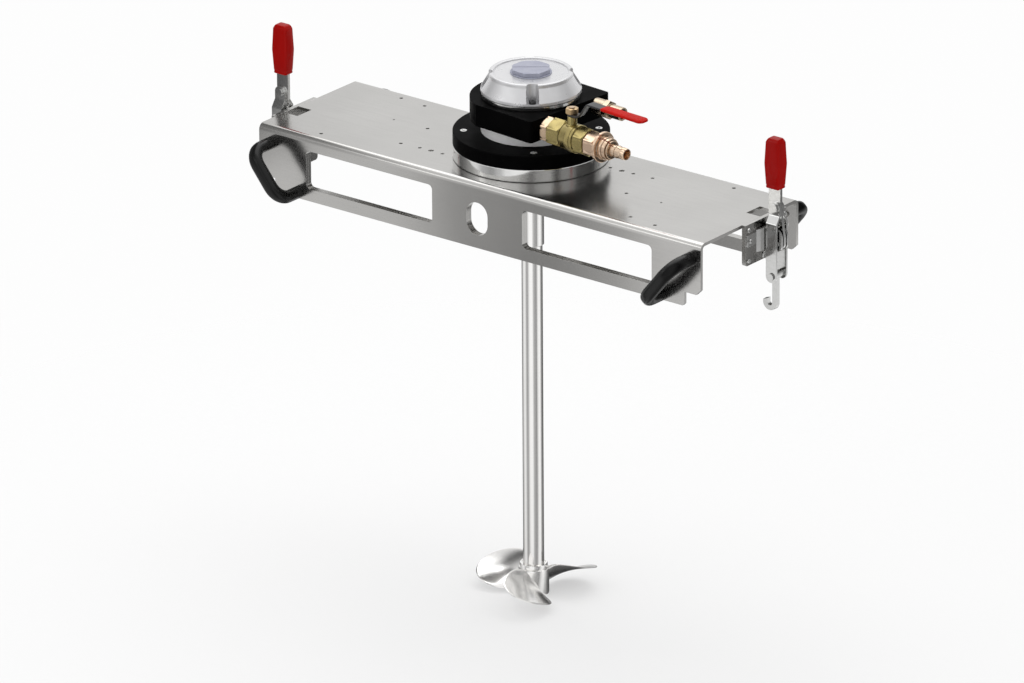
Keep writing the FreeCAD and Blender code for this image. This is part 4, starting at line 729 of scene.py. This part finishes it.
def screw_details():
    """Heads of the clamps' mounting screws, with their sockets."""
    mesh = bmesh.new()
    for side in (-1, 1):
        place = clamp_frame(side)
        for end in (-1, 1):
            for y, down, seat in ((52, 10, 0), (52, 29, 4), (52, 67, 0)):
                head = along_x(place @ Matrix.Translation(in_mm(seat, y * end, -down)))
                lathe(mesh, head, shanked_screw(4.5, 4, 3.4, 2.2, 0.6), count=36)
        head = along_x(place @ Matrix.Translation(in_mm(0, -7, -68.5)))
        lathe(mesh, head, shanked_screw(6.5, 4, 4, 2.2, 0.8), count=36)
    add_piece("clamp_screw_heads", mesh, "plated_steel", "beam", ("clamp_screws",))


# Stage, light and camera

def link_all(tree, pairs):
    for source, target in pairs:
        tree.links.new(source, target)


def stage_material(thing, tone, roughness):
    """Gives a thing of the stage a plain grey material; returns its nodes and its shader."""
    material = bpy.data.materials.new(thing.name)
    material.use_nodes = True
    tree = material.node_tree
    shader = tree.nodes["Principled BSDF"]
    shader.inputs["Base Color"].default_value = (tone, tone, tone, 1)
    shader.inputs["Roughness"].default_value = roughness
    thing.data.materials.append(material)
    return tree, shader


def mix_shaders(tree, amount, first, second):
    mixed = tree.nodes.new("ShaderNodeMixShader")
    link_all(tree, ((amount, mixed.inputs[0]), (first, mixed.inputs[1]), (second, mixed.inputs[2])))
    return mixed.outputs[0]


def seen_rays(tree):
    """1 for rays from the camera, from gloss and through glass, otherwise 0."""
    ways = tree.nodes.new("ShaderNodeLightPath")
    total = ways.outputs["Is Camera Ray"]
    for name in ("Is Glossy Ray", "Is Transmission Ray"):
        either = tree.nodes.new("ShaderNodeMath")
        either.operation = "MAXIMUM"
        link_all(tree, ((total, either.inputs[0]), (ways.outputs[name], either.inputs[1])))
        total = either.outputs[0]
    return total


def make_floor():
    """A pale floor that keeps the shadow near the object and fades into the white backdrop."""
    glow_share, fade_start, fade_end = 0.42, 0.5, 2.2
    mesh = bmesh.new()
    bmesh.ops.create_circle(mesh, cap_ends=True, segments=128, radius=2.4)
    floor = add_object("floor", mesh)
    floor.location = (0, 0, FLOOR_HEIGHT)
    tree, shader = stage_material(floor, 0.93, 0.6)
    shader.inputs["Specular IOR Level"].default_value = 0.01
    share = tree.nodes.new("ShaderNodeMath")
    share.operation = "MULTIPLY"
    share.inputs[1].default_value = glow_share
    glow = tree.nodes.new("ShaderNodeEmission")
    place = tree.nodes.new("ShaderNodeTexCoord")
    far = tree.nodes.new("ShaderNodeVectorMath")
    far.operation = "LENGTH"
    fade = tree.nodes.new("ShaderNodeMapRange")
    fade.interpolation_type = "SMOOTHSTEP"
    fade.inputs["From Min"].default_value = fade_start
    fade.inputs["From Max"].default_value = fade_end
    clear = tree.nodes.new("ShaderNodeBsdfTransparent")
    lit = mix_shaders(tree, share.outputs[0], shader.outputs[0], glow.outputs[0])
    whole = mix_shaders(tree, fade.outputs[0], lit, clear.outputs[0])
    link_all(tree, (
        (seen_rays(tree), share.inputs[0]), (place.outputs["Object"], far.inputs[0]),
        (far.outputs["Value"], fade.inputs["Value"]),
        (whole, tree.nodes["Material Output"].inputs["Surface"])))


# Darkness of the studio screens by heading in degrees, in their lower and their upper part
LOW_BANDS = (
    (-195, 0.93), (-169, 0.4), (-151, 0.12), (-135, 0.18), (-121, 0.55), (-108, 0.66),
    (-96, 0.45), (-85, 0.1), (-73, 0.0), (-52, 0.0), (-41, 0.4), (-30, 0.6), (-18, 0.62),
    (-7, 0.72), (5, 0.3), (18, 0.04), (32, 0.03), (47, 0.42), (66, 0.82), (92, 0.95),
    (106, 0.3), (115, 0.0), (142, 0.0), (152, 0.25), (165, 0.93))
HIGH_BANDS = (
    (-195, 0.05), (-182, 0.1), (-170, 0.9), (-160, 0.75), (-147, 0.5), (-130, 0.08),
    (-115, 0.4), (-101, 0.3), (-88, 0.0), (-72, 0.1), (-62, 0.45), (-52, 0.75), (-42, 0.5),
    (-27, 0.4), (-17, 0.9), (-7, 0.6), (5, 0.65), (16, 0.94), (42, 0.98), (54, 0.6),
    (64, 0.15), (92, 0.0), (150, 0.0), (165, 0.05))


def darkness(bands, heading):
    """How dark a screen is at a heading in degrees, eased between the given ones."""
    for (first, before), (second, after) in zip(bands, bands[1:]):
        if first <= heading <= second:
            return before + (after - before) * ease((heading - first) / (second - first))
    return 0.0


def reflection_bands():
    """Dark studio screens round the object, which only polished metal shows."""
    # radius and height in metres, bands, and the share of their darkness
    rows = ((0.04, -0.7515, LOW_BANDS, 1.0), (0.30, -0.746, LOW_BANDS, 1.0),
            (0.60, -0.70, LOW_BANDS, 1.0), (0.62, -0.45, LOW_BANDS, 1.0),
            (0.62, -0.05, LOW_BANDS, 1.0), (0.62, 0.08, HIGH_BANDS, 1.0),
            (0.62, 0.40, HIGH_BANDS, 1.0), (0.62, 0.60, HIGH_BANDS, 0.0))
    start = LOW_BANDS[0][0]
    mesh = bmesh.new()
    dark = mesh.verts.layers.float.new("dark")
    columns = []
    for heading in range(start, start + 360):
        turn = math.radians(heading)
        column = []
        for radius, height, bands, keep in rows:
            corner = mesh.verts.new((radius * math.cos(turn), radius * math.sin(turn), height))
            corner[dark] = darkness(bands, heading) * keep
            column.append(corner)
        columns.append(column)
    for left, right in zip(columns, columns[1:] + columns[:1]):
        for row in range(len(rows) - 1):
            mesh.faces.new((left[row], right[row], right[row + 1], left[row + 1]))
    screens = add_object("studio_screens", mesh)
    tree, shader = stage_material(screens, 0.012, 0.9)
    weight = tree.nodes.new("ShaderNodeAttribute")
    weight.attribute_name = "dark"
    clear = tree.nodes.new("ShaderNodeBsdfTransparent")
    whole = mix_shaders(tree, weight.outputs["Fac"], clear.outputs[0], shader.outputs[0])
    link_all(tree, ((whole, tree.nodes["Material Output"].inputs["Surface"]),))
    screens.visible_camera = False
    screens.visible_shadow = False
    screens.visible_diffuse = False


def light_world():
    """White all round for the camera and for reflections, and a plain soft light from it."""
    light, white = 0.76, 0.985
    world = bpy.data.worlds.new("studio")
    bpy.context.scene.world = world
    world.use_nodes = True
    tree = world.node_tree
    back = tree.nodes["Background"]
    tone = tree.nodes.new("ShaderNodeMix")
    tone.data_type = "RGBA"
    tone.inputs[MIX_A].default_value = (light, light, light, 1)
    tone.inputs[MIX_B].default_value = (white, white, white, 1)
    link_all(tree, ((seen_rays(tree), tone.inputs[0]),
                    (tone.outputs[MIX_RESULT], back.inputs["Color"])))
    back.inputs["Strength"].default_value = 1.0


def soft_light(name, place, target, size, power):
    """A rectangular lamp at a place, aimed at a target; metres and watts."""
    data = bpy.data.lights.new(name, "AREA")
    data.shape = "RECTANGLE"
    data.size, data.size_y = size
    data.energy = power
    lamp = bpy.data.objects.new(name, data)
    bpy.context.scene.collection.objects.link(lamp)
    lamp.location = place
    lamp.rotation_euler = (Vector(target) - Vector(place)).to_track_quat("-Z", "Y").to_euler()


def aim_camera():
    """The photograph's view: heading, rise and roll of a long lens far away."""
    heading, rise, roll = (math.radians(angle) for angle in (38.3098, 21.6418, -0.3578))
    aside, upwards, away = -0.0253231, -0.3228298, 19.85685
    back = Vector((math.sin(heading) * math.cos(rise), -math.cos(heading) * math.cos(rise),
                   math.sin(rise)))
    level = Vector((math.cos(heading), math.sin(heading), 0))
    upright = back.cross(level)
    right = level * math.cos(roll) + upright * math.sin(roll)
    up = upright * math.cos(roll) - level * math.sin(roll)
    eye = right * aside + up * upwards + back * away + Vector((0, 0, TOP))
    data = bpy.data.cameras.new("camera")
    data.sensor_width = 36
    data.lens = 391.063
    data.clip_end = 200
    camera = bpy.data.objects.new("camera", data)
    bpy.context.scene.collection.objects.link(camera)
    camera.matrix_world = Matrix.Translation(eye) @ Matrix((right, up, back)).transposed().to_4x4()
    bpy.context.scene.camera = camera


motor_details()
inlet_details()
lever_details()
grip_details()
handle_details()
propeller_details()
screw_details()
make_floor()
reflection_bands()
light_world()
soft_light("overhead", (-0.6, 0.9, 3.2), (0, 0, 0), (4.0, 4.0), 62)
soft_light("strip", (-1.06, -2.05, 1.25), (-1.06, -0.14, 0.1), (1.7, 0.5), 3.5)
aim_camera()
bpy.context.scene.view_settings.view_transform = "Standard"
